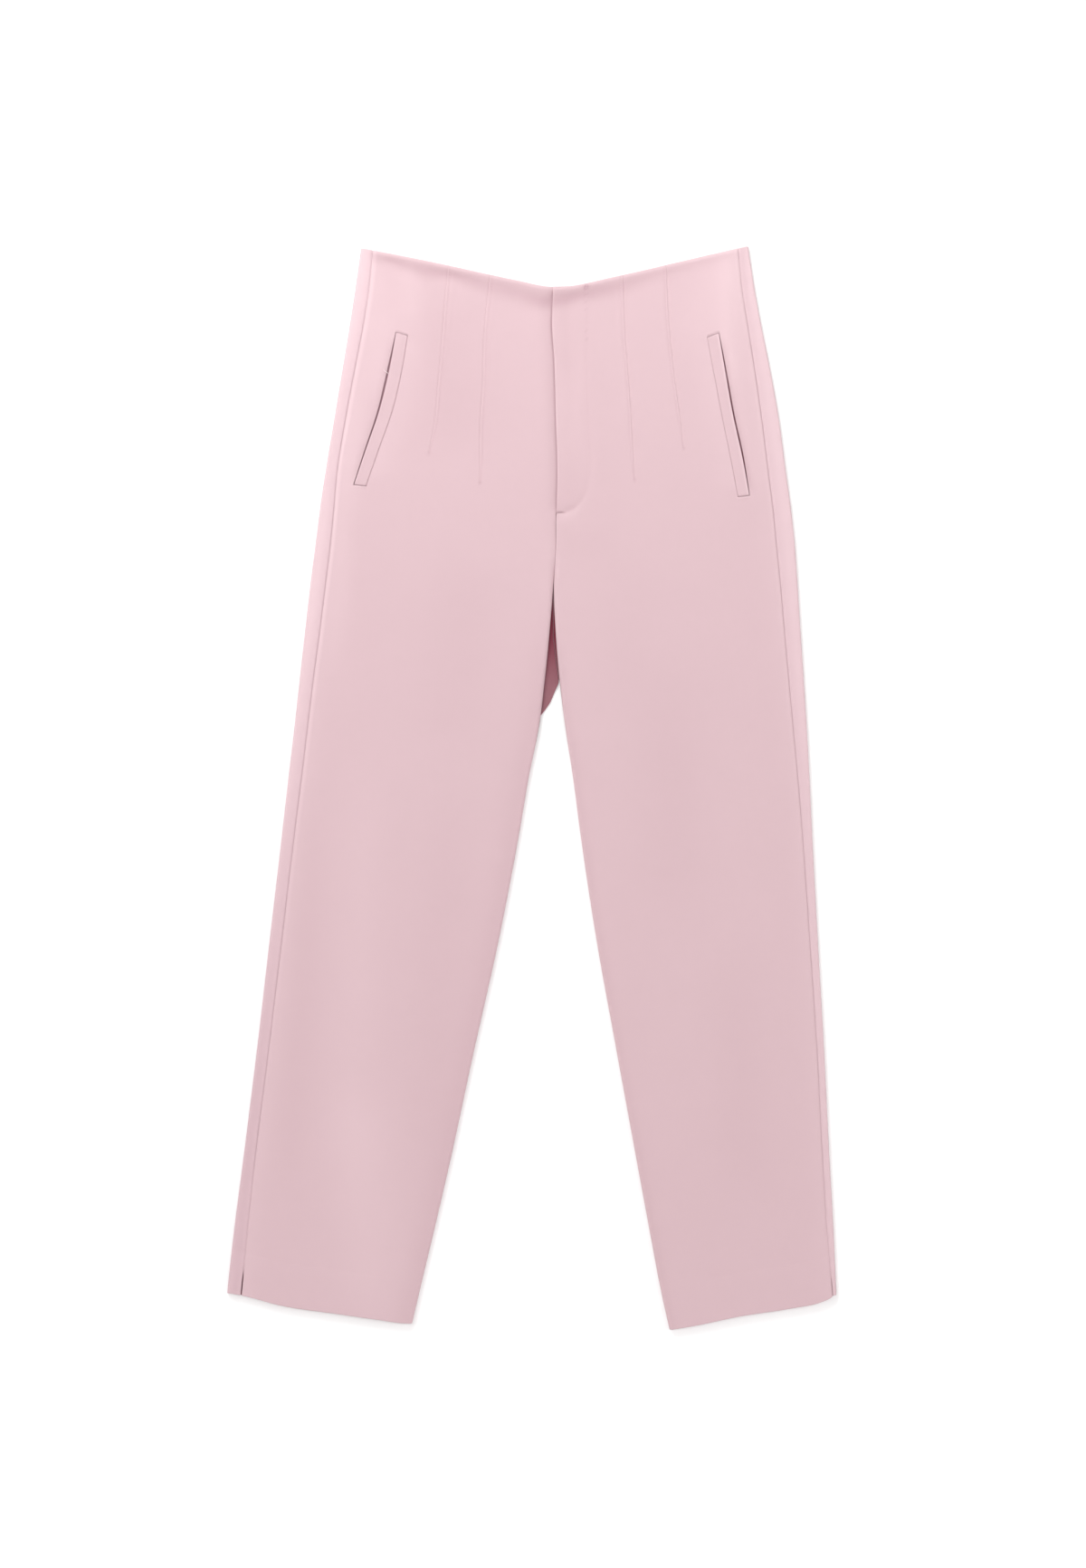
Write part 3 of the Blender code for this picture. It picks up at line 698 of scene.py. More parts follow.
@dataclass(frozen=True)
class FlyFacing(Feature):
    """The facing under the left front: raised up to its curved stitching, in a groove.

    Its stitching runs from the waist down to the bar tack at the foot of the lap.
    """

    xs: tuple[float, ...] = (50.6, 50.8, 52.5, 54.0, 52.8, 49.8, 46.0, 41.6, 37.0, 31.5)
    ys: tuple[float, ...] = (464.5, 378.8, 336.8, 303.2, 286.4, 274.2, 267.1, 261.4, 258.2, 256.2)
    samples: int = 120
    inside_edge: Run = Run(0.8, -1.6)
    inside_foot: Run = Run(FLY_FOOT - 0.42, 1.4)
    curve: Run = Run(340, -75)
    curve_end: Run = Run(52, -18)
    upper: Run = Run(390, 20)
    hollow: Ridge = Ridge(-0.62, 0, 4)
    notch: Ridge = Ridge(-0.5, 0, 1.8)
    foot_shade: float = -0.8
    foot_light: Ridge = Ridge(1.1, 2.5, 4.5)
    line_shade: Ridge = Ridge(-2.2, 0, 0.7)
    notch_shade: Ridge = Ridge(-11, 0, 1.8)

    def line(self) -> Array:
        """Points along the curved stitching, from the waist down."""
        shares = np.linspace(0, 1, len(self.xs))
        at = np.linspace(0, 1, self.samples)
        return np.stack([curve_through(shares, line, at) for line in (self.xs, self.ys)], axis=-1)

    def place(self, x: Array, y: Array) -> tuple[Array, Array, Array]:
        """How places stand to the curved stitching.

        Args:
            x: Places across the garment.
            y: Heights in the plan.

        Returns:
            The distance to the stitching, 1 inside it and 0 outside, and 1 round the foot of
            the fly, less where its curve runs out upwards.
        """
        line = self.line()
        edge = np.interp(y, line[::-1, 1], line[::-1, 0])
        inside = self.inside_edge.at(x - edge) * self.inside_foot.at(y)
        near = np.full(np.broadcast(x, y).shape, np.inf)
        for point_x, point_y in line:
            near = np.minimum(near, np.hypot(x - point_x, y - point_y))
        return near, inside, self.curve.at(y) * (0.25 + 0.75 * self.curve_end.at(x))

    def from_notch(self, x: Array, y: Array) -> Array:
        """Distance from the notch where the stitching starts at the waist edge."""
        return np.hypot(x - self.xs[0], y - self.ys[0])

    def relief(self, side: Side, x: Array, y: Array) -> Array | float:
        """Facing less groove, which are both stronger round the foot.

        The groove is a bell of the distance to the stitching, deeper again below the waist,
        with a wide hollow round the foot and a notch where it starts.
        """
        if side is Side.RIGHT:
            return 0.0
        near, inside, foot = self.place(x, y)
        facing = (0.14 + 0.24 * foot) * inside
        groove = (0.14 + 0.40 * foot + 0.12 * self.upper.at(y)) * bell(near, 1.1)
        return facing - groove + foot * self.hollow.at(near) + self.notch.at(self.from_notch(x, y))

    def tone(self, side: Side, x: Array, y: Array) -> Array | float:
        """Painted shade inside the foot and painted light outside it, and painted shade along the
        line and in the notch high up.
        """
        if side is Side.RIGHT:
            return 0.0
        near, inside, foot = self.place(x, y)
        tone = foot * (self.foot_shade * inside + self.foot_light.at(near) * (1 - inside))
        tone = tone + self.line_shade.at(near) * self.upper.at(y)
        return tone + self.notch_shade.at(self.from_notch(x, y))


@dataclass(frozen=True)
class InnerEdge(Feature):
    """The legs' inner folds, the crotch and the centre seam below the fly."""

    inset: float = 3.0
    leg: Run = Run(200, -120)
    fold_light: float = 1.2
    crotch_light: Ridge = Ridge(2, 155, 50)
    fold_half_width: float = 1.8
    below_seam: Run = Run(225, -50)
    seam_light: Ridge = Ridge(1.2, 0, 1.2)
    seam_low: Run = Run(200, 12)
    seam_high: Run = Run(FLY_FOOT, -6)

    def tone(self, side: Side, x: Array, y: Array) -> Array:
        """Shade near the inner folds, light along them, and light along the centre seam."""
        off, edge = np.maximum(from_inner(side, x, y), 0), EDGE_PAINTED_SHADING[side]
        shade = edge.inner * bell(off - self.inset, edge.inner_reach) * self.leg.at(y)
        fold = (self.fold_light + self.crotch_light.at(y)) * bell(off, self.fold_half_width)
        seam = self.seam_light.at(off) * self.seam_low.at(y) * self.seam_high.at(y)
        return shade + fold * self.below_seam.at(y) + seam


@dataclass(frozen=True)
class Unevenness(Feature):
    """Faint unevenness of the laid cloth, away from its edges."""

    inner: Run = Run(6, 14)
    outer: Run = Run(3, 8)

    def relief(self, side: Side, x: Array, y: Array) -> Array:
        """Three crossing sine waves, each bent by a slower one."""
        long_wave = np.sin(x / 31.0 + 0.9 * np.sin(y / 83.0) + 0.4)
        cross_wave = np.sin(y / 47.0 + 1.1 * np.sin(x / 39.0) + 2.1)
        short_wave = np.sin((x + 0.7 * y) / 13.0 + 1.6 * np.sin(y / 29.0))
        free = self.inner.at(from_inner(side, x, y)) * self.outer.at(from_outer(side, x, y))
        return (0.10 * long_wave + 0.07 * cross_wave + 0.02 * short_wave) * free


@dataclass(frozen=True)
class Dart:
    """A front dart: its seam from the waist down, as points, and how deeply it is pressed."""

    side: Side
    xs: tuple[float, ...]
    ys: tuple[float, ...]
    depth: float
    seam_half_width: float = 0.55
    lip: Ridge = Ridge(0.07, -1.8, 1)
    intake_height: float = 0.18
    intake_width: float = 7.0
    intake_rise: Run = Run(0, 0.9)
    intake_fall: Run = Run(0, 3)
    stitch_offset: float = 2.6
    stitch_drawn: Run = Run(0, 30)
    quilting: Ridge = Ridge(-0.26, 0, 0.6)
    knot: Ridge = Ridge(-0.45, 0, 1.2)
    start: Run = Run(-1.5, 9)
    seam_shade: Ridge = Ridge(-2.4, 0, 0.45)
    stitch_shade: Ridge = Ridge(-0.7, 0, 0.5)
    knot_shade: Ridge = Ridge(-3.2, 0, 1.3)
    strip_light: Ridge = Ridge(0.5, 0, 0.6)
    shade_start: Run = Run(0, 9)

    def seam_x(self, y: Array) -> Array:
        """Where the seam lies at the height y, straight on above its first point."""
        slope = (self.xs[0] - self.xs[1]) / (self.ys[0] - self.ys[1])
        above = np.maximum(y - self.ys[0], 0) * slope
        return curve_through(self.ys, self.xs, y) + above

    def stitch_reach(self, y: Array) -> Array:
        """How far the topstitching lies from the seam: drawn in to it over the point."""
        return self.stitch_offset * (0.25 + 0.75 * self.stitch_drawn.at(y - self.ys[-1]))

    def off_seam(self, x: Array, y: Array) -> Array:
        """Distance from the seam towards the centre front, where the intake is pressed."""
        return self.side.value * (self.seam_x(y) - x)

    def off_point(self, x: Array, y: Array) -> Array:
        """Distance from the dart's point."""
        point = self.ys[-1]
        return np.hypot(x - self.seam_x(np.array(point)), y - point)

    def relief(self, x: Array, y: Array) -> Array:
        """Relief of the dart: a narrow dip along the seam, and the intake that is pressed
        towards the centre front, whose raised strip narrows to nothing at the point."""
        above, off = y - self.ys[-1], self.off_seam(x, y)
        dip = self.lip.at(off) - self.depth * bell(off, self.seam_half_width)
        width = self.intake_width * np.clip(above / (self.ys[0] - self.ys[-1]), 0.05, 1.2)
        intake = self.intake_rise.at(off) * (1 - self.intake_fall.at(off - width))
        quilting = self.quilting.at(off - self.stitch_reach(y))
        relief = dip + self.intake_height * intake + quilting
        return self.start.at(above) * relief + self.knot.at(self.off_point(x, y))

    def tone(self, x: Array, y: Array) -> Array:
        """Painted shade of the dart in its seam, its topstitching and the knot at its point, and
        painted light on the strip between.
        """
        above, off, reach = y - self.ys[-1], self.off_seam(x, y), self.stitch_reach(y)
        lines = self.depth * self.seam_shade.at(off) + self.stitch_shade.at(off - reach)
        tone = (lines + self.strip_light.at(off - reach / 2)) * self.shade_start.at(above)
        return tone + self.knot_shade.at(self.off_point(x, y))


DARTS = {
    Side.RIGHT: (
        Dart(Side.RIGHT, (-78.5, -83.2, -86.9, -89.9, -95.3), (475.4, 416.6, 374.6, 341, 310.8),
             0.25),
        Dart(Side.RIGHT, (-39.1, -44.1, -45.8, -47.9, -47.9), (471.2, 420.8, 370.4, 336.8, 283.9),
             0.28),
    ),
    Side.LEFT: (
        Dart(Side.LEFT, (125.2, 127.8, 133, 137.7, 140.8), (479.6, 429.2, 378.8, 345.2, 315.8),
             0.34),
        Dart(Side.LEFT, (84.9, 86.6, 90.5, 92.6, 95.4), (475.4, 425, 374.6, 341, 285.6), 0.40),
    ),
}

LAP, FACING, SEAM, POCKET_EDGE = FlyLap(), FlyFacing(), SideSeam(), PocketEdge()
WAIST_ROLL = WaistRoll()
FEATURES = (WAIST_ROLL, TurnedHem(), SEAM, POCKET_EDGE, LAP, FACING, InnerEdge(), Unevenness())


def upper_height(side: Side, x: Array, y: Array) -> Array:
    """Height of the upper side with all its relief, fronts and side strips alike."""
    height = base_height(side, x, y) + sum(feature.relief(side, x, y) for feature in FEATURES)
    return height + sum(dart.relief(x, y) for dart in DARTS[side])


def cloth_lie(side: Side, x: Array, y: Array) -> Array:
    """Painted light and shade of a front, from its folds, darts and features: about 1 on a ridge
    and -1 in a trough.
    """
    lie = sum(fold.at(x, y) for fold in FOLDS[side]) + sum(dart.tone(x, y) for dart in DARTS[side])
    return lie + sum(feature.tone(side, x, y) for feature in FEATURES)


@dataclass(frozen=True)
class Valley:
    """The narrow valley between the legs, whose cloth gets painted shadow."""

    edge: Run = Run(-1, 1.6)
    undercut: float = 11.0
    under: Run = Run(2.6, -0.8)
    sunk: Run = Run(4.6, -2.6)
    raised: Run = Run(0.3, 0.5)
    top: Run = Run(204, -44)
    low_end: Run = Run(20, 45)
    darkest: Run = Run(85, 67)

    def depth(self, x: Array, y: Array, z: Array) -> Array:
        """How far into the valley a point lies, from 0 to 1, which sets its painted shadow.

        It grows beyond the two inner folds and with the depth below the upper side, and is
        greatest near the valley's top.
        """
        beyond = -np.maximum(from_inner(Side.RIGHT, x, y), from_inner(Side.LEFT, x, y))
        between = self.edge.at(beyond + self.undercut * self.under.at(z))
        along = self.top.at(y) * self.low_end.at(y) * (0.80 + 0.20 * self.darkest.at(y))
        return between * self.sunk.at(z) * self.raised.at(z) * along


@dataclass(frozen=True)
class Openings:
    """The gaping pocket mouths and the hems' slits, whose cloth gets painted shadow inside."""

    mouth_strength: tuple[tuple[Side, float], ...] = ((Side.RIGHT, 0.25), (Side.LEFT, 0.7))
    mouth_inner: Run = Run(-1.44, 1.2)
    mouth_outer: Run = Run(5, -1.5)
    mouth_sunk: Run = Run(BODY_HEIGHT - 0.3, -0.8)
    mouth_raised: Run = Run(1.6, 0.4)
    slit: Ridge = Ridge(0.8, 0, 3)
    slit_top: Run = Run(SIDE_SLIT_LENGTH, -6)
    slit_sunk: Run = Run(4.2, -0.8)
    slit_raised: Run = Run(0.3, 0.5)

    def depth(self, x: Array, y: Array, z: Array) -> Array:
        """How far a point lies under a pocket's mouth or in a slit, from 0 to 1, which sets its
        painted shadow.
        """
        slit_sunk = self.slit_sunk.at(z) * self.slit_raised.at(z)
        mouth_sunk = self.mouth_sunk.at(z) * self.mouth_raised.at(z)
        depth = np.zeros(np.broadcast(x, y).shape)
        for side, strength in self.mouth_strength:
            slit = self.slit.at(from_seam(side, x, y)) * self.slit_top.at(y - hem_y(side, x))
            off = outside_welt(side, "outer", x, y)
            mouth = self.mouth_inner.at(off) * self.mouth_outer.at(off) * (side.value * x > 0)
            mouth = strength * mouth * POCKET_EDGE.share(side, y)
            depth = depth + slit * slit_sunk + mouth * mouth_sunk
        return depth


VALLEY, OPENINGS = Valley(), Openings()


# ---------- Meshes ----------


def put_mesh(name: str, points: Array, faces: list, uv: Array | None = None,
             smooth: bool = True) -> Object:
    """Make a mesh object of points in millimetres.

    Args:
        name: Name of the piece.
        points: Vertices, one row each.
        faces: Vertex numbers of each face, outwards by the right-hand rule.
        uv: Place of each vertex on the cloth, in metres, where the piece has a weave.
        smooth: Whether the faces are shaded smoothly, as all but flat plates are.

    Returns:
        The new object, linked to the scene, at the origin.
    """
    mesh = bpy.data.meshes.new(name)
    mesh.from_pydata((points * MILLIMETRE).tolist(), [], faces)
    if uv is not None:
        layer = mesh.uv_layers.new(name="cloth")
        corners = np.zeros(len(mesh.loops), np.int32)
        mesh.loops.foreach_get("vertex_index", corners)
        layer.data.foreach_set("uv", uv[corners].astype(np.float32).ravel())
    if smooth:
        mesh.shade_smooth()
    obj = bpy.data.objects.new(name, mesh)
    bpy.context.scene.collection.objects.link(obj)
    return obj


def grid_of(x: Array, y: Array, z: Array) -> Array:
    """Points of three coordinates, each spread over the same grid."""
    return np.stack(np.broadcast_arrays(x, y, z), axis=-1)


def shares_after(count: int) -> Array:
    """Shares of a way at the end of each of its equal steps, as a row."""
    return np.linspace(0, 1, count + 1)[None, 1:]


def set_attribute(obj: Object, name: str, values: Array) -> None:
    """Give each vertex of a mesh a named number."""
    attribute = obj.data.attributes.new(name, "FLOAT", "POINT")
    attribute.data.foreach_set("value", values.astype(np.float32))


def grid_quads(index: Array) -> Array:
    """Quads of a grid of vertex numbers, facing along (next column) x (next row)."""
    return np.stack([index[:-1, :-1], index[:-1, 1:], index[1:, 1:], index[1:, :-1]], axis=-1)


def unit(vectors: Array) -> Array:
    """Vectors brought to a length of 1."""
    return vectors / np.maximum(np.linalg.norm(vectors, axis=-1, keepdims=True), 1e-9)


def grid_normals(points: Array) -> Array:
    """Unit normals of a grid: the slope along the columns crossed with that along the rows."""
    return unit(np.cross(np.gradient(points, axis=1), np.gradient(points, axis=0)))


def block_loop(first_row: int, last_row: int, first_column: int, last_column: int
               ) -> list[tuple[int, int]]:
    """Grid places round a block, along its first row, down its last column and back."""
    loop = [(first_row, c) for c in range(first_column, last_column)]
    loop += [(r, last_column) for r in range(first_row, last_row)]
    loop += [(last_row, c) for c in range(last_column, first_column, -1)]
    loop += [(r, first_column) for r in range(last_row, first_row, -1)]
    return loop


@dataclass
class ClothShell:
    """A closed thin shell of cloth: a grid of outer points, the same moved in, and rounded rims.

    Rows run down the piece and columns across it, so that (next column) x (next row) points
    out of the outer face.
    """

    name: str
    points: Array
    wall: Array | float
    bulge: Array | float = 0.0
    hole: tuple[int, int, int, int] | None = None
    flat_x: Array | None = None
    # Painted light and shade of each grid point, which the material reads as an attribute.
    lie: Array | float = 0.0
    grain: float = 0.0
    rim_steps: int = 4

    def cloth_uv(self) -> Array:
        """Place of each grid point on the flat cloth, in metres, turned to the grain."""
        x = self.points[..., 0] if self.flat_x is None else self.flat_x
        y = self.points[..., 1]
        cos, sin = math.cos(self.grain), math.sin(self.grain)
        uv = np.stack([x * cos - y * sin, x * sin + y * cos], axis=-1)
        return uv * MILLIMETRE

    def build(self) -> Object:
        """Make the shell.

        A rim goes from the outer to the inner face along half an ellipse, whose reach beyond
        the edge is the bulge: none at a seam, half the wall at a fold.

        Returns:
            The piece's object.
        """
        shape = self.points.shape[:2]
        rows, columns = shape
        size = rows * columns
        wall, bulge, lie = (np.broadcast_to(fact, shape).reshape(-1, 1)
                            for fact in (self.wall, self.bulge, self.lie))
        outer, normal = (a.reshape(-1, 3) for a in (self.points, grid_normals(self.points)))
        inner = outer - normal * wall
        index = np.arange(size).reshape(shape)
        keep = np.ones((rows - 1, columns - 1), bool)
        loops = [block_loop(0, rows - 1, 0, columns - 1)]
        if self.hole is not None:
            first_row, last_row, first_column, last_column = self.hole
            keep[first_row:last_row, first_column:last_column] = False
            loops.append(block_loop(*self.hole)[::-1])
        outer_quads = grid_quads(index)[keep]
        faces = [outer_quads, outer_quads[:, ::-1] + size]
        vertices = [outer, inner]
        facts = np.hstack([self.cloth_uv().reshape(-1, 2), lie])
        facts_of = [facts, facts]
        start = 2 * size
        for loop in loops:
            ring = index[tuple(np.array(loop).T)]
            top = outer[ring]
            tangent = np.roll(top, -1, axis=0) - np.roll(top, 1, axis=0)
            outward = unit(np.cross(tangent, normal[ring]))
            middle = (top + inner[ring]) / 2
            previous = ring
            for step in range(1, self.rim_steps + 1):
                angle = math.pi * step / self.rim_steps
                if step < self.rim_steps:
                    current = start + np.arange(len(ring))
                    start += len(ring)
                    vertices.append(middle + (top - middle) * math.cos(angle)
                                    + outward * bulge[ring] * math.sin(angle))
                    facts_of.append(facts[ring])
                else:
                    current = ring + size
                faces.append(np.stack([previous, current, np.roll(current, -1),
                                       np.roll(previous, -1)], axis=-1))
                previous = current
        used, quads = np.unique(np.vstack(faces), return_inverse=True)
        points, facts = (np.vstack(parts)[used] for parts in (vertices, facts_of))
        obj = put_mesh(self.name, points, quads.reshape(-1, 4).tolist(), facts[:, :2])
        # Painted light and shade, then painted shadow in the valley, mouths and slits, as
        # attributes for the material.
        set_attribute(obj, "lie", facts[:, 2])
        places = points.T
        set_attribute(obj, "depth", VALLEY.depth(*places) + OPENINGS.depth(*places))
        return obj


# A stitch's bead: corners of its circle, and where its circles lie along it.
BEAD_SIDES = 6
BEAD_SHARES = np.linspace(0.02, 0.98, 5)


@dataclass
class StitchRun:
    """Stitches along a line on the cloth, each a slim bead that dives in at both ends.

    line gives its points in the plan, on one side's front; lengths are in millimetres.
    """

    line: Array
    side: Side
    pitch: float = 2.3
    stitch: float = 1.75
    radius: float = 0.24
    lift: float = 0.02
    sink: float = 0.9
    aim: float = 0.3

    def beads(self) -> tuple[Array, Array]:
        """Points and faces of all the stitches.

        A bead is a circle carried along the stitch, whose radius follows the root of the
        sine of the way, and which sinks by the cube of the way from the middle.

        Returns:
            The points, and the faces as vertex numbers.
        """
        steps = np.hypot(*np.diff(self.line, axis=0).T)
        way = np.concatenate([[0.0], np.cumsum(steps)])
        count = max(1, int(way[-1] / self.pitch))
        middle = (np.arange(count) + 0.5) * way[-1] / count
        share = BEAD_SHARES
        at = middle[:, None] + (share[None, :] - 0.5) * self.stitch
        x, y = (np.interp(at, way, line) for line in self.line.T)
        z = upper_height(self.side, x, y) + self.lift
        run_x, run_y = (np.interp(at + self.aim, way, line) - np.interp(at - self.aim, way, line)
                        for line in self.line.T)
        across = unit(grid_of(-run_y, run_x, 0.0))
        up = grid_of(np.zeros_like(x), 0, 1)
        thick = self.radius * np.sqrt(np.sin(np.pi * share))[None, :]
        sink = -self.sink * self.radius * np.abs(2 * share - 1) ** 3
        angle = 2 * np.pi * np.arange(BEAD_SIDES) / BEAD_SIDES
        centre = grid_of(x, y, z + sink[None, :])
        points = (centre[:, :, None, :]
                  + across[:, :, None, :] * (thick[..., None] * np.cos(angle))[..., None]
                  + up[:, :, None, :] * (thick[..., None] * np.sin(angle))[..., None])
        return points.reshape(-1, 3), tube_faces(count, len(share), BEAD_SIDES)


def tube_faces(count: int, rings: int, sides: int) -> Array:
    """Faces of many closed tubes of the same make, one after another.

    Args:
        count: How many tubes.
        rings: Circles along a tube.
        sides: Corners of a circle, an even number.

    Returns:
        Quads as vertex numbers; each end is closed by a fan of quads.
    """
    one = np.arange(rings * sides).reshape(rings, sides)
    ring = np.hstack([one, one[:, :1]])
    walls = grid_quads(ring).reshape(-1, 4)
    half = np.arange(0, sides - 2, 2)
    start = np.stack([np.zeros_like(half), half + 3, half + 2, half + 1], axis=-1) % sides
    end = start[:, ::-1] + (rings - 1) * sides
    faces = np.vstack([walls, start, end])
    offset = (np.arange(count) * rings * sides)[:, None, None]
    return (faces[None, :, :] + offset).reshape(-1, 4)


def joined(name: str, parts: Sequence[tuple[Array, Array]], smooth: bool = True) -> Object:
    """One mesh object of several parts, each given by its points and faces."""
    points, faces, start = [], [], 0
    for part_points, part_faces in parts:
        points.append(part_points)
        faces.extend([int(corner) + start for corner in face] for face in part_faces)
        start += len(part_points)
    return put_mesh(name, np.vstack(points), faces, smooth=smooth)


# ---------- Finishes ----------

Colour = tuple[float, float, float]

# Thick and thin places of the threads, across a thread and, less often, along it
SLUB_SCALE = 1600.0
SLUB_STRETCH = 0.03


class NodeKit:
    """Short ways to add nodes to a tree and to link them."""

    def __init__(self, tree: NodeTree) -> None:
        """Work on one tree."""
        self.tree = tree

    def add(self, kind: str, **settings: object) -> Node:
        """Add a node and set its properties."""
        node = self.tree.nodes.new(kind)
        for name, value in settings.items():
            setattr(node, name, value)
        return node

    def feed(self, socket: NodeSocket, value: object) -> None:
        """Link a socket to another, or set its value."""
        if isinstance(value, NodeSocket):
            self.tree.links.new(value, socket)
        else:
            socket.default_value = value

    def math(self, operation: str, *values: object, clamp: bool = False) -> NodeSocket:
        """Output of a Math node."""
        node = self.add("ShaderNodeMath", operation=operation, use_clamp=clamp)
        for number, value in enumerate(values):
            self.feed(node.inputs[number], value)
        return node.outputs[0]

    def times(self, first: object, second: object) -> NodeSocket:
        """Product of two values."""
        return self.math("MULTIPLY", first, second)

    def plus(self, first: object, second: object) -> NodeSocket:
        """Sum of two values."""
        return self.math("ADD", first, second)

    def noise(self, place: NodeSocket, scale: object, detail: float = 2.0,
              roughness: float = 0.5) -> NodeSocket:
        """Factor of a Noise Texture, about 0.5 on average."""
        node = self.add("ShaderNodeTexNoise")
        self.feed(node.inputs["Vector"], place)
        self.feed(node.inputs["Scale"], scale)
        node.inputs["Detail"].default_value = detail
        node.inputs["Roughness"].default_value = roughness
        return node.outputs["Fac"]

    def attribute(self, name: str) -> NodeSocket:
        """A named number of the mesh's vertices."""
        return self.add("ShaderNodeAttribute", attribute_name=name).outputs["Fac"]

    def stretched(self, place: NodeSocket, scale: Colour) -> NodeSocket:
        """A place scaled along each axis, which stretches a pattern where the scale is small."""
        node = self.add("ShaderNodeMapping")
        self.feed(node.inputs["Vector"], place)
        node.inputs["Scale"].default_value = scale
        return node.outputs[0]

    def group(self, tree: NodeTree, **inputs: object) -> Node:
        """Place a node group with its own values."""
        node = self.add("ShaderNodeGroup", node_tree=tree)
        for name, value in inputs.items():
            self.feed(node.inputs[name], value)
        return node

    def blend(self, factor: NodeSocket, first: object, second: object) -> NodeSocket:
        """One colour where the factor is 0 and the other where it is 1."""
        node = self.add("ShaderNodeMix", data_type="RGBA")
        self.feed(node.inputs["Factor"], factor)
        for name, colour in (("A", first), ("B", second)):
            self.feed(node.inputs[name], (*colour, 1.0) if isinstance(colour, tuple) else colour)
        return node.outputs["Result"]

    def bump(self, height: NodeSocket, distance: float, strength: float = 1.0) -> NodeSocket:
        """Normal of a fine relief, whose height of 1 is a distance in metres."""
        node = self.add("ShaderNodeBump")
        node.inputs["Strength"].default_value = strength
        node.inputs["Distance"].default_value = distance
        self.feed(node.inputs["Height"], height)
        return node.outputs["Normal"]


def new_material(name: str) -> tuple[Material, NodeKit, bpy.types.NodeInputs]:
    """A new material, with its kit and the sockets of its shader."""
    made = bpy.data.materials.new(name)
    made.use_nodes = True
    return made, NodeKit(made.node_tree), made.node_tree.nodes["Principled BSDF"].inputs


def tinted(colour: Colour, share: float) -> Colour:
    """A colour made darker, or lighter but not above 1."""
    return tuple(min(1.0, share * value) for value in colour)


def new_group(name: str, inputs: dict[str, tuple[str, object]], outputs: dict[str, str]
              ) -> tuple[NodeTree, NodeKit, Node, Node]:
    """A shader node group with named sockets.

    Args:
        name: Name of the group.
        inputs: Socket type and default value of each input.
        outputs: Socket type of each output.

    Returns:
        The group, its kit, and its input and output nodes.
    """
    group = bpy.data.node_groups.new(name, "ShaderNodeTree")
    for socket_name, (kind, default) in inputs.items():
        socket = group.interface.new_socket(socket_name, in_out="INPUT", socket_type=kind)
        if default is not None:
            socket.default_value = default
    for socket_name, kind in outputs.items():
        group.interface.new_socket(socket_name, in_out="OUTPUT", socket_type=kind)
    kit = NodeKit(group)
    return group, kit, kit.add("NodeGroupInput"), kit.add("NodeGroupOutput")


@cache
def weave_group() -> NodeTree:
    """Plain weave: warp and weft threads that pass over each other in turn.

    With u and v counted in threads, sin(pi u) sin(pi v) is high where the warp is on top and
    low where the weft is. The height is the higher of the two threads, each an arched profile
    that rises where it is on top. Thread by thread noise makes some a little thicker or darker.
    """
    group, kit, given, out = new_group(
        "PlainWeave",
        {"Place": ("NodeSocketVector", None), "Thread": ("NodeSocketFloat", 0.00036)},
        {"Height": "NodeSocketFloat", "Shade": "NodeSocketFloat"})
    threads = kit.add("ShaderNodeVectorMath", operation="SCALE")
    kit.feed(threads.inputs[0], given.outputs["Place"])
    kit.feed(threads.inputs["Scale"], kit.math("DIVIDE", math.pi, given.outputs["Thread"]))
    split = kit.add("ShaderNodeSeparateXYZ")
    kit.feed(split.inputs[0], threads.outputs[0])
    warp_wave = kit.math("SINE", split.outputs["X"])
    weft_wave = kit.math("SINE", split.outputs["Y"])
    over = kit.times(kit.times(warp_wave, weft_wave), 0.5)
    warp = kit.times(kit.math("ABSOLUTE", warp_wave), kit.plus(0.5, over))
    weft = kit.times(kit.math("ABSOLUTE", weft_wave), kit.math("SUBTRACT", 0.5, over))
    height = kit.math("MAXIMUM", warp, weft)
    slubs = [kit.noise(kit.stretched(given.outputs["Place"], scale), SLUB_SCALE, 1.0)
             for scale in ((1.0, SLUB_STRETCH, 1.0), (SLUB_STRETCH, 1.0, 1.0))]
    slub = kit.times(kit.plus(*slubs), 0.5)
    kit.feed(out.inputs["Height"], kit.times(height, kit.plus(slub, 0.5)))
    shade = kit.plus(kit.times(height, 0.6), kit.times(slub, 0.4))
    kit.feed(out.inputs["Shade"], shade)
    return group


@cache
def mottle_group() -> NodeTree:
    """Unevenness of a dyed finish: wide soft clouds and finer ones, 0.5 on average."""
    group, kit, given, out = new_group(
        "SoftMottle",
        {"Place": ("NodeSocketVector", None), "Scale": ("NodeSocketFloat", 9.0)},
        {"Factor": "NodeSocketFloat"})
    wide = kit.noise(given.outputs["Place"], given.outputs["Scale"], 3.0)
    fine = kit.noise(given.outputs["Place"], kit.times(given.outputs["Scale"], 14.0))
    mixed = kit.plus(kit.times(wide, 0.7), kit.times(fine, 0.3))
    kit.feed(out.inputs["Factor"], mixed)
    return group


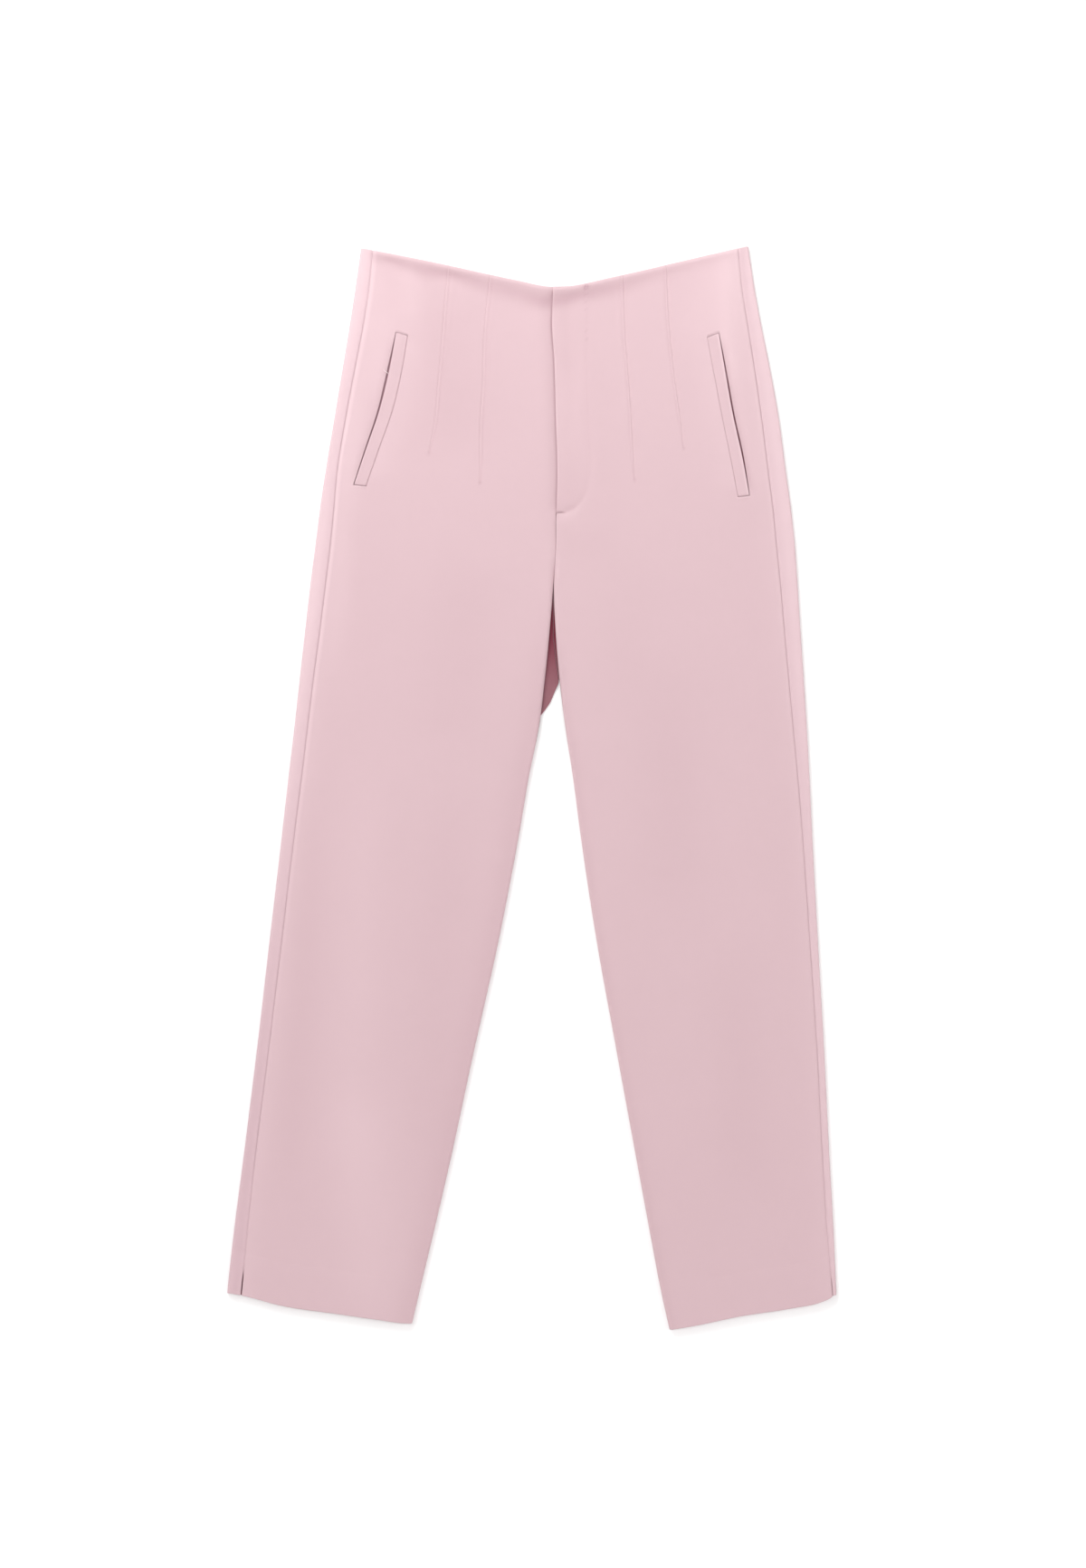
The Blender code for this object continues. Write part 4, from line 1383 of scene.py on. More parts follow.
@dataclass(frozen=True)
class WovenFinish:
    """A woven cloth or tape, dyed in the piece.

    Colours are linear. Thread is the pitch of the threads and depth the weave's relief, both
    in metres.
    """

    name: str
    colour: Colour
    shadow: Colour
    thread: float
    depth: float
    roughness: float = 0.88
    thread_gloss: float = 0.08
    specular: float = 0.25
    sheen: float = 0.0
    sheen_roughness: float = 0.4
    sheen_tint: Colour = (1.0, 0.86, 0.88)
    contrast: float = 0.10
    uneven: float = 0.06
    # Strength of the painted light and shade, and the colour and strength of the painted shadow.
    lie_tone: float = 0.10
    deep: Colour = (0.158, 0.013, 0.031)
    deep_share: float = 0.97

    def material(self) -> Material:
        """The cloth's material.

        The colour goes down to the shadow between the threads and in soft clouds, is made lighter
        or darker by the painted light and shade in the mesh's "lie", and becomes a dark painted
        shadow colour by its "depth".

        Returns:
            The material.
        """
        made, kit, shader = new_material(self.name)
        place = kit.add("ShaderNodeUVMap", uv_map="cloth").outputs["UV"]
        weave = kit.group(weave_group(), Place=place, Thread=self.thread)
        where = kit.add("ShaderNodeTexCoord").outputs["Object"]
        mottle = kit.group(mottle_group(), Place=where)
        tone = kit.plus(kit.times(weave.outputs["Shade"], self.contrast),
                        kit.times(mottle.outputs["Factor"], self.uneven))
        # Painted light and shade from the mesh's attribute, lighter on ridges and darker in
        # troughs.
        tone = kit.plus(tone, kit.times(kit.attribute("lie"), self.lie_tone))
        middle = 0.5 * (self.contrast + self.uneven)
        tone = kit.math("SUBTRACT", kit.plus(tone, 0.5), middle, clamp=True)
        dark = tuple(max(0.0, 2 * s - c) for s, c in zip(self.shadow, self.colour))
        light = tuple(2 * c - s for s, c in zip(self.shadow, self.colour))
        # Painted shadow: the colour turns to a dark one where the mesh's depth attribute is high.
        shown = kit.blend(kit.times(kit.attribute("depth"), self.deep_share),
                          kit.blend(tone, dark, light), self.deep)
        kit.feed(shader["Base Color"], shown)
        gloss = kit.times(weave.outputs["Shade"], -self.thread_gloss)
        rough = kit.plus(gloss, self.roughness + self.thread_gloss / 2)
        kit.feed(shader["Roughness"], rough)
        kit.feed(shader["Normal"], kit.bump(weave.outputs["Height"], self.depth))
        shader["Specular IOR Level"].default_value = self.specular
        shader["Sheen Weight"].default_value = self.sheen
        shader["Sheen Roughness"].default_value = self.sheen_roughness
        shader["Sheen Tint"].default_value = (*self.sheen_tint, 1.0)
        return made


@dataclass(frozen=True)
class ThreadFinish:
    """Spun sewing thread: a fine twist that turns round the stitch."""

    name: str
    colour: Colour
    roughness: float = 0.6
    twist_scale: float = 900.0
    twist_bend: float = 1.5
    twist_depth: float = 0.00004
    hollow: float = 0.82
    crown: float = 1.06
    # Painted shade: share of the colour left where a stitch dives into its needle hole.
    hole: float = 0.35

    def material(self) -> Material:
        """The thread's material, with painted shade where a stitch dives into its needle hole."""
        made, kit, shader = new_material(self.name)
        where = kit.add("ShaderNodeTexCoord").outputs["Object"]
        twist = kit.add("ShaderNodeTexWave", wave_type="BANDS", bands_direction="DIAGONAL")
        kit.feed(twist.inputs["Vector"], where)
        twist.inputs["Scale"].default_value = self.twist_scale
        twist.inputs["Distortion"].default_value = self.twist_bend
        spun = kit.blend(twist.outputs["Fac"], tinted(self.colour, self.hollow),
                         tinted(self.colour, self.crown))
        shown = kit.blend(kit.attribute("hole_shade_mask"), spun, tinted(self.colour, self.hole))
        kit.feed(shader["Base Color"], shown)
        kit.feed(shader["Normal"], kit.bump(twist.outputs["Fac"], self.twist_depth, 0.6))
        shader["Roughness"].default_value = self.roughness
        return made


@dataclass(frozen=True)
class PlatedFinish:
    """Satin nickel plate with fine rubbed scratches."""

    name: str
    colour: Colour
    roughness: float = 0.32
    scratch_scale: float = 2600.0
    scratch_stretch: float = 0.08
    scratch_depth: float = 0.00001
    scratch_rough: float = 0.22
    cloud_scale: float = 160.0
    dull: float = 0.90
    bright: float = 1.08

    def material(self) -> Material:
        """The plate's material, with long scratches and soft clouds."""
        made, kit, shader = new_material(self.name)
        where = kit.add("ShaderNodeTexCoord").outputs["Object"]
        rubbed = kit.stretched(where, (1.0, self.scratch_stretch, 1.0))
        scratch = kit.noise(rubbed, self.scratch_scale, 3.0)
        mottle = kit.group(mottle_group(), Place=where, Scale=self.cloud_scale)
        shown = kit.blend(mottle.outputs["Factor"], tinted(self.colour, self.dull),
                          tinted(self.colour, self.bright))
        kit.feed(shader["Base Color"], shown)
        rough = kit.plus(kit.times(scratch, self.scratch_rough), self.roughness - 0.08)
        kit.feed(shader["Roughness"], rough)
        kit.feed(shader["Normal"], kit.bump(scratch, self.scratch_depth, 0.4))
        shader["Metallic"].default_value = 1.0
        return made


SUITING = WovenFinish("PinkSuiting", (0.638, 0.459, 0.490), (0.558, 0.387, 0.418),
                      thread=0.00030, depth=0.00005, sheen=0.12)
# Backs: a lighter copy of the suiting, painted light for the sheen on their sloped side strips.
SUITING_PAINTED_LIGHTER = WovenFinish("PinkSuitingBackPaintedLight", (0.673, 0.491, 0.524), (0.593, 0.418, 0.453),
                           thread=0.00030, depth=0.00005, sheen=0.12)
POCKETING = WovenFinish("RosePocketing", (0.60, 0.40, 0.44), (0.50, 0.32, 0.36),
                        thread=0.00026, depth=0.00003, roughness=0.92)
ZIP_TAPE = WovenFinish("RoseZipTape", (0.56, 0.36, 0.40), (0.44, 0.26, 0.30),
                       thread=0.00042, depth=0.00008, roughness=0.8)
THREAD = ThreadFinish("PinkThread", (0.64, 0.43, 0.475))
PALE_THREAD = ThreadFinish("PalePinkThread", (0.88, 0.72, 0.75))
COIL = ThreadFinish("RoseZipCoil", (0.58, 0.38, 0.42), roughness=0.35)
NICKEL = PlatedFinish("SatinNickel", (0.60, 0.58, 0.56))


def finish_piece(obj: Object, finish: Material, slot: str, *nodes: str) -> Object:
    """Give a piece its material and body, and hide the nodes that it stands for."""
    obj.data.materials.append(finish)
    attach(obj, BODY)
    if nodes:
        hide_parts(*nodes)
    LOG.info("%s: %d faces", obj.name, len(obj.data.polygons))
    return obj


# ---------- Panels ----------


def stepped(runs: Sequence[tuple[float, float, float]]) -> Array:
    """Rows from the top down: each run goes from one height to the next at about its step."""
    rows = [np.array([runs[0][0]])]
    for top, low, step in runs:
        count = max(1, int(round((top - low) / step)))
        rows.append(np.linspace(top, low, count + 1)[1:])
    return np.concatenate(rows)


@dataclass
class PocketMouth:
    """The slanted pocket opening of one front, filled by its welt but for a gaping slit."""

    side: Side
    lip: float = 0.35
    past: float = 0.15
    across: Run = Run(8, 14)
    down: Run = Run(0, 22)
    samples: int = 200

    def __post_init__(self) -> None:
        """Trace the hole's two long edges."""
        share = np.linspace(0, 1, self.samples)
        gape = SEWN_GAP + self.lip + welt_line(self.side, "mouth", share)
        self.hole_outer = welt_edge(self.side, "outer", share)
        self.hole_outer[:, 0] += self.side.value * gape
        self.hole_inner = welt_edge(self.side, "inner", share)
        self.hole_inner[:, 0] -= self.side.value * SEWN_GAP

    def edge_x(self, line: Array, y: Array) -> Array:
        """X of a line of the mouth at the height y, held beyond its ends."""
        return np.interp(y, line[::-1, 1], line[::-1, 0])

    def end_middle(self, end: int) -> Array:
        """Middle of the mouth's top (0) or bottom (-1) edge."""
        return (self.hole_outer[end] + self.hole_inner[end]) / 2

    def end_y(self, end: int, x: Array) -> Array:
        """Height of the top or bottom edge of the hole at x, just past the welt."""
        past = self.past if end == 0 else -self.past
        low, high = sorted((self.hole_outer[end], self.hole_inner[end]), key=lambda p: p[0])
        return np.interp(x, (low[0], high[0]), (low[1], high[1])) + past

    def row_shift(self, end: int, row: Array, nominal: float, x: Array, y: Array) -> Array:
        """How far a row near the mouth's end moves so that one row lies on that end."""
        target = self.end_y(end, x) - follow_edges(np.array(nominal), x, self.side)
        middle = self.end_middle(end)
        across = 1 - self.across.at(np.abs(x - middle[0]))
        return target * across * (1 - self.down.at(np.abs(row - nominal)))


@dataclass
class LegPanels:
    """One side's front and back panel.

    The front runs from the side seam to the fly and, lower down, round the inner fold to the
    inseam. The back lies on the table, turns up round the outer fold and ends at the side seam.
    """

    side: Side
    cloth: Material
    back_cloth: Material
    columns_between: tuple[int, ...] = (13, 8, 26, 34, 38)
    roll_columns: int = 14
    strip_columns: int = 16
    fold_columns: int = 12
    floor_columns: int = 48
    rise_columns: int = 3
    settling_rounds: int = 5
    grain_top: float = 300.0
    toned_above: float = 2.0
    slit_bulge: float = 0.3
    waist_facing: float = 0.15
    facing_end: Run = Run(34, 4)
    lap_edge: Run = Run(0, 4)
    lap_foot: Run = Run(250, 8)
    back_darts: tuple[tuple[float, float], ...] = ((0.42, 352.0), (0.70, 338.0))

    def __post_init__(self) -> None:
        """Set the pocket's mouth, and the rows that meet its ends."""
        self.mouth = PocketMouth(self.side)
        self.mouth_rows = []
        for end in (0, -1):
            x, y = self.mouth.end_middle(end)
            up = (waist_y(x) - HIP_ROW) / (WAIST_ROW - HIP_ROW)
            self.mouth_rows.append(HIP_ROW + (y - HIP_ROW) / up if y > HIP_ROW else y)
        top, low = self.mouth_rows
        self.rows = stepped(((WAIST_ROW, 496, 0.8), (496, 472, 2), (472, top, 3),
                             (top, low, 2.6), (low, 236, 2.2), (236, 40, 3.6),
                             (40, -410, 6.5), (-410, -424, 3), (-424, -436, 1.2),
                             (-436, -466, 3), (-466, HEM_ROW, 0.8)))

    @property
    def grain(self) -> float:
        """Turn of the cloth's grain, along the middle of the leg, in radians."""
        top, low = (section(self.side, "inner", y) + section(self.side, "outer", y)
                    for y in (self.grain_top, HEM_ROW))
        return math.atan2((top - low) / 2, self.grain_top - HEM_ROW)

    def front_shares(self, y: Array, start: Array, end: Array) -> Array:
        """Columns of the front as shares of its width, gathered beside the lines sewn on it.

        Args:
            y: Height of each row at each column.
            start: X of the side seam there.
            end: X where the inner roll starts; not used.

        Returns:
            A share for each row and column.
        """
        mouth, guides = self.mouth, [np.zeros_like(start)]
        low, high = (mouth.end_y(end, mouth.end_middle(end)[0]) for end in (-1, 0))
        lines = [(partial(mouth.edge_x, hole), low, high)
                 for hole in (mouth.hole_outer, mouth.hole_inner)]
        lines += [(dart.seam_x, dart.ys[-1], WAIST_ROW) for dart in DARTS[self.side]]
        for line, low, high in lines:
            at = np.clip(y, low, high)
            held_start = seam_edge(self.side, at, HEM_ROW, -1.0)
            _, _, held_end = inner_roll(self.side, at)
            guides.append((line(at) - held_start) / (held_end - held_start))
        guides.append(np.ones_like(start))
        shares, first = [guides[0][:, :1]], 1
        for number, count in enumerate(self.columns_between):
            low, high = (guide[:, first:first + count] for guide in guides[number:number + 2])
            shares.append(low + (high - low) * graded(count)[None, 1:])
            first += count
        return np.hstack(shares)

    def front_grid(self) -> tuple[Array, Array, tuple[int, int, int, int]]:
        """Outer face of the front.

        Rows and columns lean on each other, so a few rounds settle both. The inner roll goes
        on from the last column: a circle whose turn and radius inner_roll gives.

        Returns:
            Its points, the flat X of each for the weave, and the block of the pocket's mouth.
        """
        side, mouth = self.side, self.mouth
        rows = self.rows[:, None]
        column_count = 1 + sum(self.columns_between)
        start = section(side, "seam", rows)
        _, _, end = inner_roll(side, rows)
        x = start + (end - start) * np.linspace(0, 1, column_count)[None, :]
        for _ in range(self.settling_rounds):
            y = follow_edges(rows, x, side)
            shift = np.zeros_like(y)
            for mouth_end, nominal in zip((0, -1), self.mouth_rows):
                shift = shift + mouth.row_shift(mouth_end, rows, nominal, x, y)
            y = y + shift
            hem = hem_y(side, x)
            start = seam_edge(side, y, hem, -1.0)
            _, _, end = inner_roll(side, y)
            x = start + (end - start) * self.front_shares(y, start, end)
        z = upper_height(side, x, y)
        turn, radius, _ = inner_roll(side, y[:, -1:])
        angle = turn * shares_after(self.roll_columns)
        x_end, y_end = x[:, -1:], y[:, -1:]
        x_roll = x_end - side.value * radius * np.sin(angle)
        z_roll = z[:, -1:] - radius * (1 - np.cos(angle))
        for change in (LAP.rise, WAIST_ROLL.relief):
            z_roll = z_roll + change(side, x_roll, y_end) - change(side, x_end, y_end)
        points = np.hstack([grid_of(x, y, z), grid_of(x_roll, y_end, z_roll)])
        flat_x = np.hstack([x, x_end - side.value * radius * angle])
        top, low = (int(np.argmin(np.abs(self.rows - row))) for row in self.mouth_rows)
        return points, flat_x, (top, low, self.columns_between[0], sum(self.columns_between[:2]))

    def front_bulge(self, points: Array) -> Array:
        """How far each rim point of the front bulges: folded edges do, sewn ones don't."""
        half = CLOTH / 2
        bulge = np.zeros(points.shape[:2])
        bulge[0, :] = half
        bulge[-1, :] = HEM_CLOTH / 2
        y = points[:, -1, 1]
        if self.side is Side.LEFT:
            bulge[:, -1] = LAP_CLOTH / 2 * LAP_START.at(y)
        bulge[:, 0] = self.side_bulge(points)
        top, low, first, _ = self.mouth_block
        bulge[top:low + 1, first] = self.mouth.lip
        return bulge

    def side_bulge(self, points: Array) -> Array:
        """How far the first column's rim bulges, along the side seam: only in the hem's slit."""
        above = points[:, 0, 1] - points[-1, 0, 1]
        return self.slit_bulge * (1 - ease((above - SIDE_SLIT_LENGTH + 8.0) / 8.0))

    def wall(self, points: Array) -> Array:
        """Thickness of the cloth, thicker over the turned hem and the faced waist."""
        above = points[..., 1] - points[-1:, :, 1]
        below = points[:1, :, 1] - points[..., 1]
        hem = (HEM_CLOTH - CLOTH) * (1 - ease((above - HEM_DEPTH) / 3.0))
        return CLOTH + hem + self.waist_facing * (1 - self.facing_end.at(below))

    def lap_fold(self, points: Array) -> Array:
        """Share of the lap's folded edge at each point: 1 on it, 0 from 4 mm inside it."""
        if self.side is Side.RIGHT:
            return np.zeros(points.shape[:2])
        from_edge = points[..., 0] - points[:, -1:, 0]
        return (1 - self.lap_edge.at(from_edge)) * self.lap_foot.at(points[..., 1])

    def build_front(self) -> Object:
        """The front panel."""
        points, flat_x, self.mouth_block = self.front_grid()
        bulge, wall = self.front_bulge(points), self.wall(points)
        wall = wall + (LAP_CLOTH - CLOTH) * self.lap_fold(points)
        # Painted light and shade of the front's folds, darts, seams and edges.
        lie = cloth_lie(self.side, points[..., 0], points[..., 1])
        block, grain = self.mouth_block, self.grain
        if self.side is Side.RIGHT:
            points, flat_x = points[:, ::-1], flat_x[:, ::-1]
            bulge, wall, lie = bulge[:, ::-1], wall[:, ::-1], lie[:, ::-1]
            last = points.shape[1] - 1
            block = (block[0], block[1], last - block[3], last - block[2])
        node = "front_" + self.side.word
        shell = ClothShell("cloth_" + node, points, wall, bulge, block, flat_x, lie, grain)
        front = finish_piece(shell.build(), self.cloth, "suiting", node)
        return front

    def back_grid(self) -> tuple[Array, Array]:
        """Outer face of the back, from the side seam round the outer fold to its inner edge.

        The fold is half a circle from the upper side down to the table. The floor part is
        flat, but for the dips of its two darts, and ends at the centre back seam or, along the
        leg, in a short rise to the inseam.

        Returns:
            Its points and the flat X of each for the weave.
        """
        side = self.side
        sign = side.value
        rows = self.rows[:, None]

        def heights(x: Array) -> Array:
            """Heights of the rows at x."""
            return follow_edges(rows, x, side)

        y = heights(section(side, "outer", rows))
        y = heights(section(side, "outer", y))
        radius = OUTER_FOLD_HEIGHT / 2
        fold_x = section(side, "outer", y) - sign * radius
        outer_edge = seam_edge(side, y, hem_y(side, fold_x), 1.0)
        strip = graded(self.strip_columns, 0.6)[None, :]
        x_strip = outer_edge + (fold_x - outer_edge) * strip
        y_strip = heights(x_strip)
        z_strip = upper_height(side, x_strip, y_strip)
        z_strip = z_strip + (OUTER_FOLD_HEIGHT - z_strip[:, -1:]) * ease((strip - 0.5) / 0.5)
        angle = np.pi * shares_after(self.fold_columns)
        x_fold = fold_x + sign * radius * np.sin(angle)
        z_fold = radius * (1 + np.cos(angle))
        y_in = heights(section(side, "inner", y))
        for _ in range(self.settling_rounds):
            _, _, centre = inner_roll(side, y_in)
            share = SEAT.straight(side.word + "_leg_share", y_in)
            seat = SEAT.straight(side.word, y_in)
            seat_edge = seat + sign * (SEWN_GAP / 2 + SEAM_RUN)
            floor_end = seat_edge * (1 - share) + centre * share
            y_in = heights(floor_end)
        x_floor = fold_x + (floor_end - fold_x) * shares_after(self.floor_columns)
        y_floor = heights(x_floor)
        z_floor = self.back_dart_dip(x_floor, y_floor, fold_x, floor_end)
        height = ROLLS.straight("height", y_in)
        rise = np.radians(BACK_TURN) * share
        step = shares_after(self.rise_columns)
        roll = height / 2 * np.radians(BACK_TURN)
        x_rise = floor_end - sign * roll * step * np.sinc(rise * step / np.pi) * share
        x_rise = x_rise - sign * (1 - share) * SEAM_RUN * step
        z_rise = height / 2 * (1 - np.cos(rise * step)) + 0.25 * (1 - share) * step ** 2
        points = np.hstack([
            grid_of(x_strip, y_strip, z_strip), grid_of(x_fold, heights(fold_x), z_fold),
            grid_of(x_floor, y_floor, z_floor), grid_of(x_rise, y_floor[:, -1:], z_rise)])
        steps = np.hypot(np.diff(points[..., 0], axis=1), np.diff(points[..., 2], axis=1))
        flat_x = points[:, :1, 0] + sign * np.hstack([np.zeros_like(steps[:, :1]),
                                                      np.cumsum(steps, axis=1)])
        return points, flat_x

    def back_dart_dip(self, x: Array, y: Array, fold_x: Array, seat_x: Array) -> Array:
        """Dips of the back's two darts into the face that rests on the table."""
        dip = np.zeros_like(x)
        for share, point_y in self.back_darts:
            centre = fold_x + (seat_x - fold_x) * share
            dip = dip + 0.2 * ease((y - point_y) / 30.0) * bell(x - centre, 1.8)
        return dip

    def build_back(self) -> Object:
        """The back panel."""
        points, flat_x = self.back_grid()
        wall = self.wall(points)
        bulge = np.zeros(points.shape[:2])
        bulge[0, :] = CLOTH / 2
        bulge[-1, :] = HEM_CLOTH / 2
        bulge[:, 0] = self.side_bulge(points)
        if self.side is Side.LEFT:
            points, flat_x, wall, bulge = (a[:, ::-1] for a in (points, flat_x, wall, bulge))
        node = "back_" + self.side.word
        # Painted light and shade on the back's side strip, only where it is raised off the table.
        lie = SEAM.strip_tone(self.side, points[..., 0], points[..., 1])
        lie = lie * (points[..., 2] > self.toned_above)
        shell = ClothShell("cloth_" + node, points, wall, bulge, None, flat_x, lie, self.grain)
        back = finish_piece(shell.build(), self.back_cloth, "suiting", node)
        return back


# ---------- Pockets ----------


# Corners of the pocket bags in the plan: top outer and inner, then low outer and inner.
BAGS = {
    Side.RIGHT: ((-140, 436), (-62, 426), (-172, 232), (-84, 222)),
    Side.LEFT: ((186, 436), (108, 426), (212, 226), (124, 216)),
}

# A thread end left across the right pocket's mouth, as plan points.
LOOSE_THREAD = ((-137.2, 389.4), (-136.9, 386.8), (-134.6, 385.9), (-132.2, 383.4))


@dataclass
class Pocket:
    """A single-welt pocket: the folded strip in the front's opening and the bag behind it."""

    side: Side
    cloth: Material
    pocketing: Material
    rise: float = 0.45
    end_row: float = 2.4
    bag_drop: float = 2.3
    bag_corner: float = 14.0

    def welt_grid(self) -> Array:
        """Face of the welt: the front's form under it, raised and rounded to its long edges."""
        share = graded(64, 0.5)
        outer, inner = (welt_edge(self.side, edge, share) for edge in ("outer", "inner"))
        across = graded(16, 0.75)[None, :, None]
        plan = outer[:, None, :] + (inner - outer)[:, None, :] * across
        x, y = plan[..., 0], plan[..., 1]
        from_fold = across[..., 0]
        from_end = np.minimum(share, 1 - share)[:, None] * 140.0
        crown = self.rise * (1 - 0.45 * (1 - from_fold) ** 6 - 1.6 * bell(from_fold - 1.0, 0.05))
        crown = crown - 0.45 * bell(from_end, 0.9) + 0.05 * np.sin(y / 8.0 + x / 5.0)
        return grid_of(x, y, base_height(self.side, x, y) + crown)

    def build_welt(self) -> Object:
        """The welt: a strip folded in half along its outer edge."""
        points = self.welt_grid()
        if self.side is Side.RIGHT:
            points = points[:, ::-1]
        bulge = np.zeros(points.shape[:2])
        bulge[:, 0 if self.side is Side.LEFT else -1] = WELT_CLOTH / 2
        node = "pocket_welt_" + self.side.word
        # Painted light along the welt's folded outer edge.
        rim = {Side.RIGHT: 0.5, Side.LEFT: 2.6}[self.side]
        from_fold = np.abs(outside_welt(self.side, "outer", points[..., 0], points[..., 1]))
        shell = ClothShell("cloth_" + node, points, WELT_CLOTH, bulge,
                           lie=rim * bell(from_fold - 0.4, 1.1))
        welt = finish_piece(shell.build(), self.cloth, "suiting", node)
        return welt

    def build_bag(self) -> Object:
        """The pocket bag, hidden but for what shows through the gaping mouth."""
        top_outer, top_inner, low_outer, low_inner = np.array(BAGS[self.side])
        down = np.linspace(0, 1, 40)[:, None, None]
        across = np.linspace(0, 1, 24)[None, :, None]
        top = top_outer + (top_inner - top_outer) * across
        low = low_outer + (low_inner - low_outer) * across
        plan = top + (low - top) * down
        corner = (2 * across - 1) ** 6 * self.bag_corner * ease((down - 0.7) / 0.3)
        plan = plan + np.concatenate([np.zeros_like(corner), corner], axis=-1)
        x, y = plan[..., 0], plan[..., 1]
        z = base_height(self.side, x, y) - self.bag_drop + 0.06 * np.sin(x / 6.0) * np.sin(y / 9.0)
        points = grid_of(x, y, z)
        if self.side is Side.RIGHT:
            points = points[:, ::-1]
        node = "pocket_bag_" + self.side.word
        shell = ClothShell("cloth_" + node, points, POCKETING_CLOTH)
        made = finish_piece(shell.build(), self.pocketing, "pocketing", node)
        return made

    def stitches(self) -> list[tuple[Array, Array]]:
        """A row of stitches across each end of the welt, just outside it."""
        parts = []
        for end, past in ((0.0, self.end_row), (1.0, -self.end_row)):
            line = np.stack([welt_edge(self.side, edge, end) for edge in ("outer", "inner")])
            run = StitchRun(line + (0.0, past), self.side, pitch=2.2, stitch=1.7)
            parts.append(run.beads())
        return parts

    def build_loose_thread(self, thread: Material) -> Object:
        """The thread end that lies across the pocket's mouth."""
        run = StitchRun(np.array(LOOSE_THREAD), self.side, pitch=8.0, stitch=8.0,
                        radius=0.42, lift=0.55)
        return finish_piece(put_mesh("loose_thread", *run.beads()), thread, "suiting")


# ---------- Stitching ----------


@dataclass
class Topstitching:
    """The stitching that shows on one front: beside its darts, and the fly's on the left."""

    side: Side
    thread: Material
    tack_x: float = 22.9
    tack_pitch: float = 0.62
    tack_stitches: int = 14

    def dart_rows(self) -> list[tuple[Array, Array]]:
        """A row beside each dart, and a short back tack over its point."""
        parts = []
        for dart in DARTS[self.side]:
            y = np.linspace(WAIST_ROW, dart.ys[-1], 160)
            x = dart.seam_x(y) - self.side.value * dart.stitch_reach(y)
            below = y < waist_y(x) - 2.0
            x, y = x[below], y[below]
            row = np.stack([x, y], axis=-1)
            parts.append(StitchRun(row, self.side, pitch=2.56, stitch=2.1, radius=0.31).beads())
            tip = np.array([dart.seam_x(np.array(dart.ys[-1])), dart.ys[-1]])
            tack = np.stack([tip + (-1.3, 0.2), tip + (0.1, -0.9), tip + (1.7, -0.2)])
            parts.append(StitchRun(tack, self.side, pitch=1.1, stitch=1.5, radius=0.4).beads())
        return parts

    def fly_rows(self) -> list[tuple[Array, Array]]:
        """The fly's curved row, and the bar tack at the foot of its lap."""
        parts = [StitchRun(FACING.line(), self.side, radius=0.18).beads()]
        for number in range(self.tack_stitches):
            x = self.tack_x + self.tack_pitch * number
            tack = np.array([[x, FLY_FOOT + 0.85], [x + 0.15, FLY_FOOT - 0.85]])
            parts.append(StitchRun(tack, self.side, pitch=1.7, stitch=1.7, radius=0.24).beads())
        snag = np.array([[50.9, 466.6], [50.7, 463.6]])
        parts.append(StitchRun(snag, self.side, pitch=1.4, stitch=1.5, radius=0.4).beads())
        return parts

    def build(self, more: list[tuple[Array, Array]]) -> Object:
        """One joined mesh of all the stitches on this front."""
        parts = self.dart_rows() + more
        if self.side is Side.LEFT:
            parts += self.fly_rows()
        stitching = joined("stitching_" + self.side.word, parts)
        # Painted shade at both ends of each bead, where the stitch dives into the cloth.
        hole_shade_mask = np.repeat((2 * BEAD_SHARES - 1) ** 4, BEAD_SIDES)
        set_attribute(stitching, "hole_shade_mask", np.resize(hole_shade_mask, len(stitching.data.vertices)))
        return finish_piece(stitching, self.thread, "suiting")


# ---------- Closure under the lap ----------


def soft_outline(corners: Sequence[tuple[float, float]], rounds: int = 3) -> Array:
    """Outline with rounded corners: each round cuts every corner a quarter of the way along."""
    points = np.array(corners, float)
    for _ in range(rounds):
        after = np.roll(points, -1, axis=0)
        points = np.stack([0.75 * points + 0.25 * after, 0.25 * points + 0.75 * after], axis=1)
        points = points.reshape(-1, 2)
    return points


def box_outline(centre: tuple[float, float], half: tuple[float, float]) -> Array:
    """Rounded rectangle round a centre."""
    corners = [(-1, -0.7), (-1, -1), (-0.7, -1), (0.7, -1), (1, -1), (1, -0.7),
               (1, 0.7), (1, 1), (0.7, 1), (-0.7, 1), (-1, 1), (-1, 0.7)]
    return soft_outline(np.array(corners) * half + centre, 2)


def plate(outline: Array, low: float, high: float, bevel: float = 0.12) -> tuple[Array, list]:
    """Flat plate with bevelled edges.

    Args:
        outline: Plan points, anticlockwise.
        low: Height of the underside.
        high: Height of the top.
        bevel: Width and height of the edges' bevels.

    Returns:
        The points, and the faces as vertex numbers.
    """
    along = unit(np.roll(outline, -1, axis=0) - np.roll(outline, 1, axis=0))
    inside = outline + bevel * np.stack([-along[:, 1], along[:, 0]], axis=1)
    rings = [(inside, low), (outline, low + bevel), (outline, high - bevel), (inside, high)]
    points = np.vstack([np.column_stack([ring, np.full(len(ring), z)]) for ring, z in rings])
    count = len(outline)
    index = np.arange(4 * count).reshape(4, count)
    index = np.hstack([index, index[:, :1]])
    faces = grid_quads(index).reshape(-1, 4).tolist()
    return points, faces + [index[0, :count][::-1].tolist(), index[3, :count].tolist()]


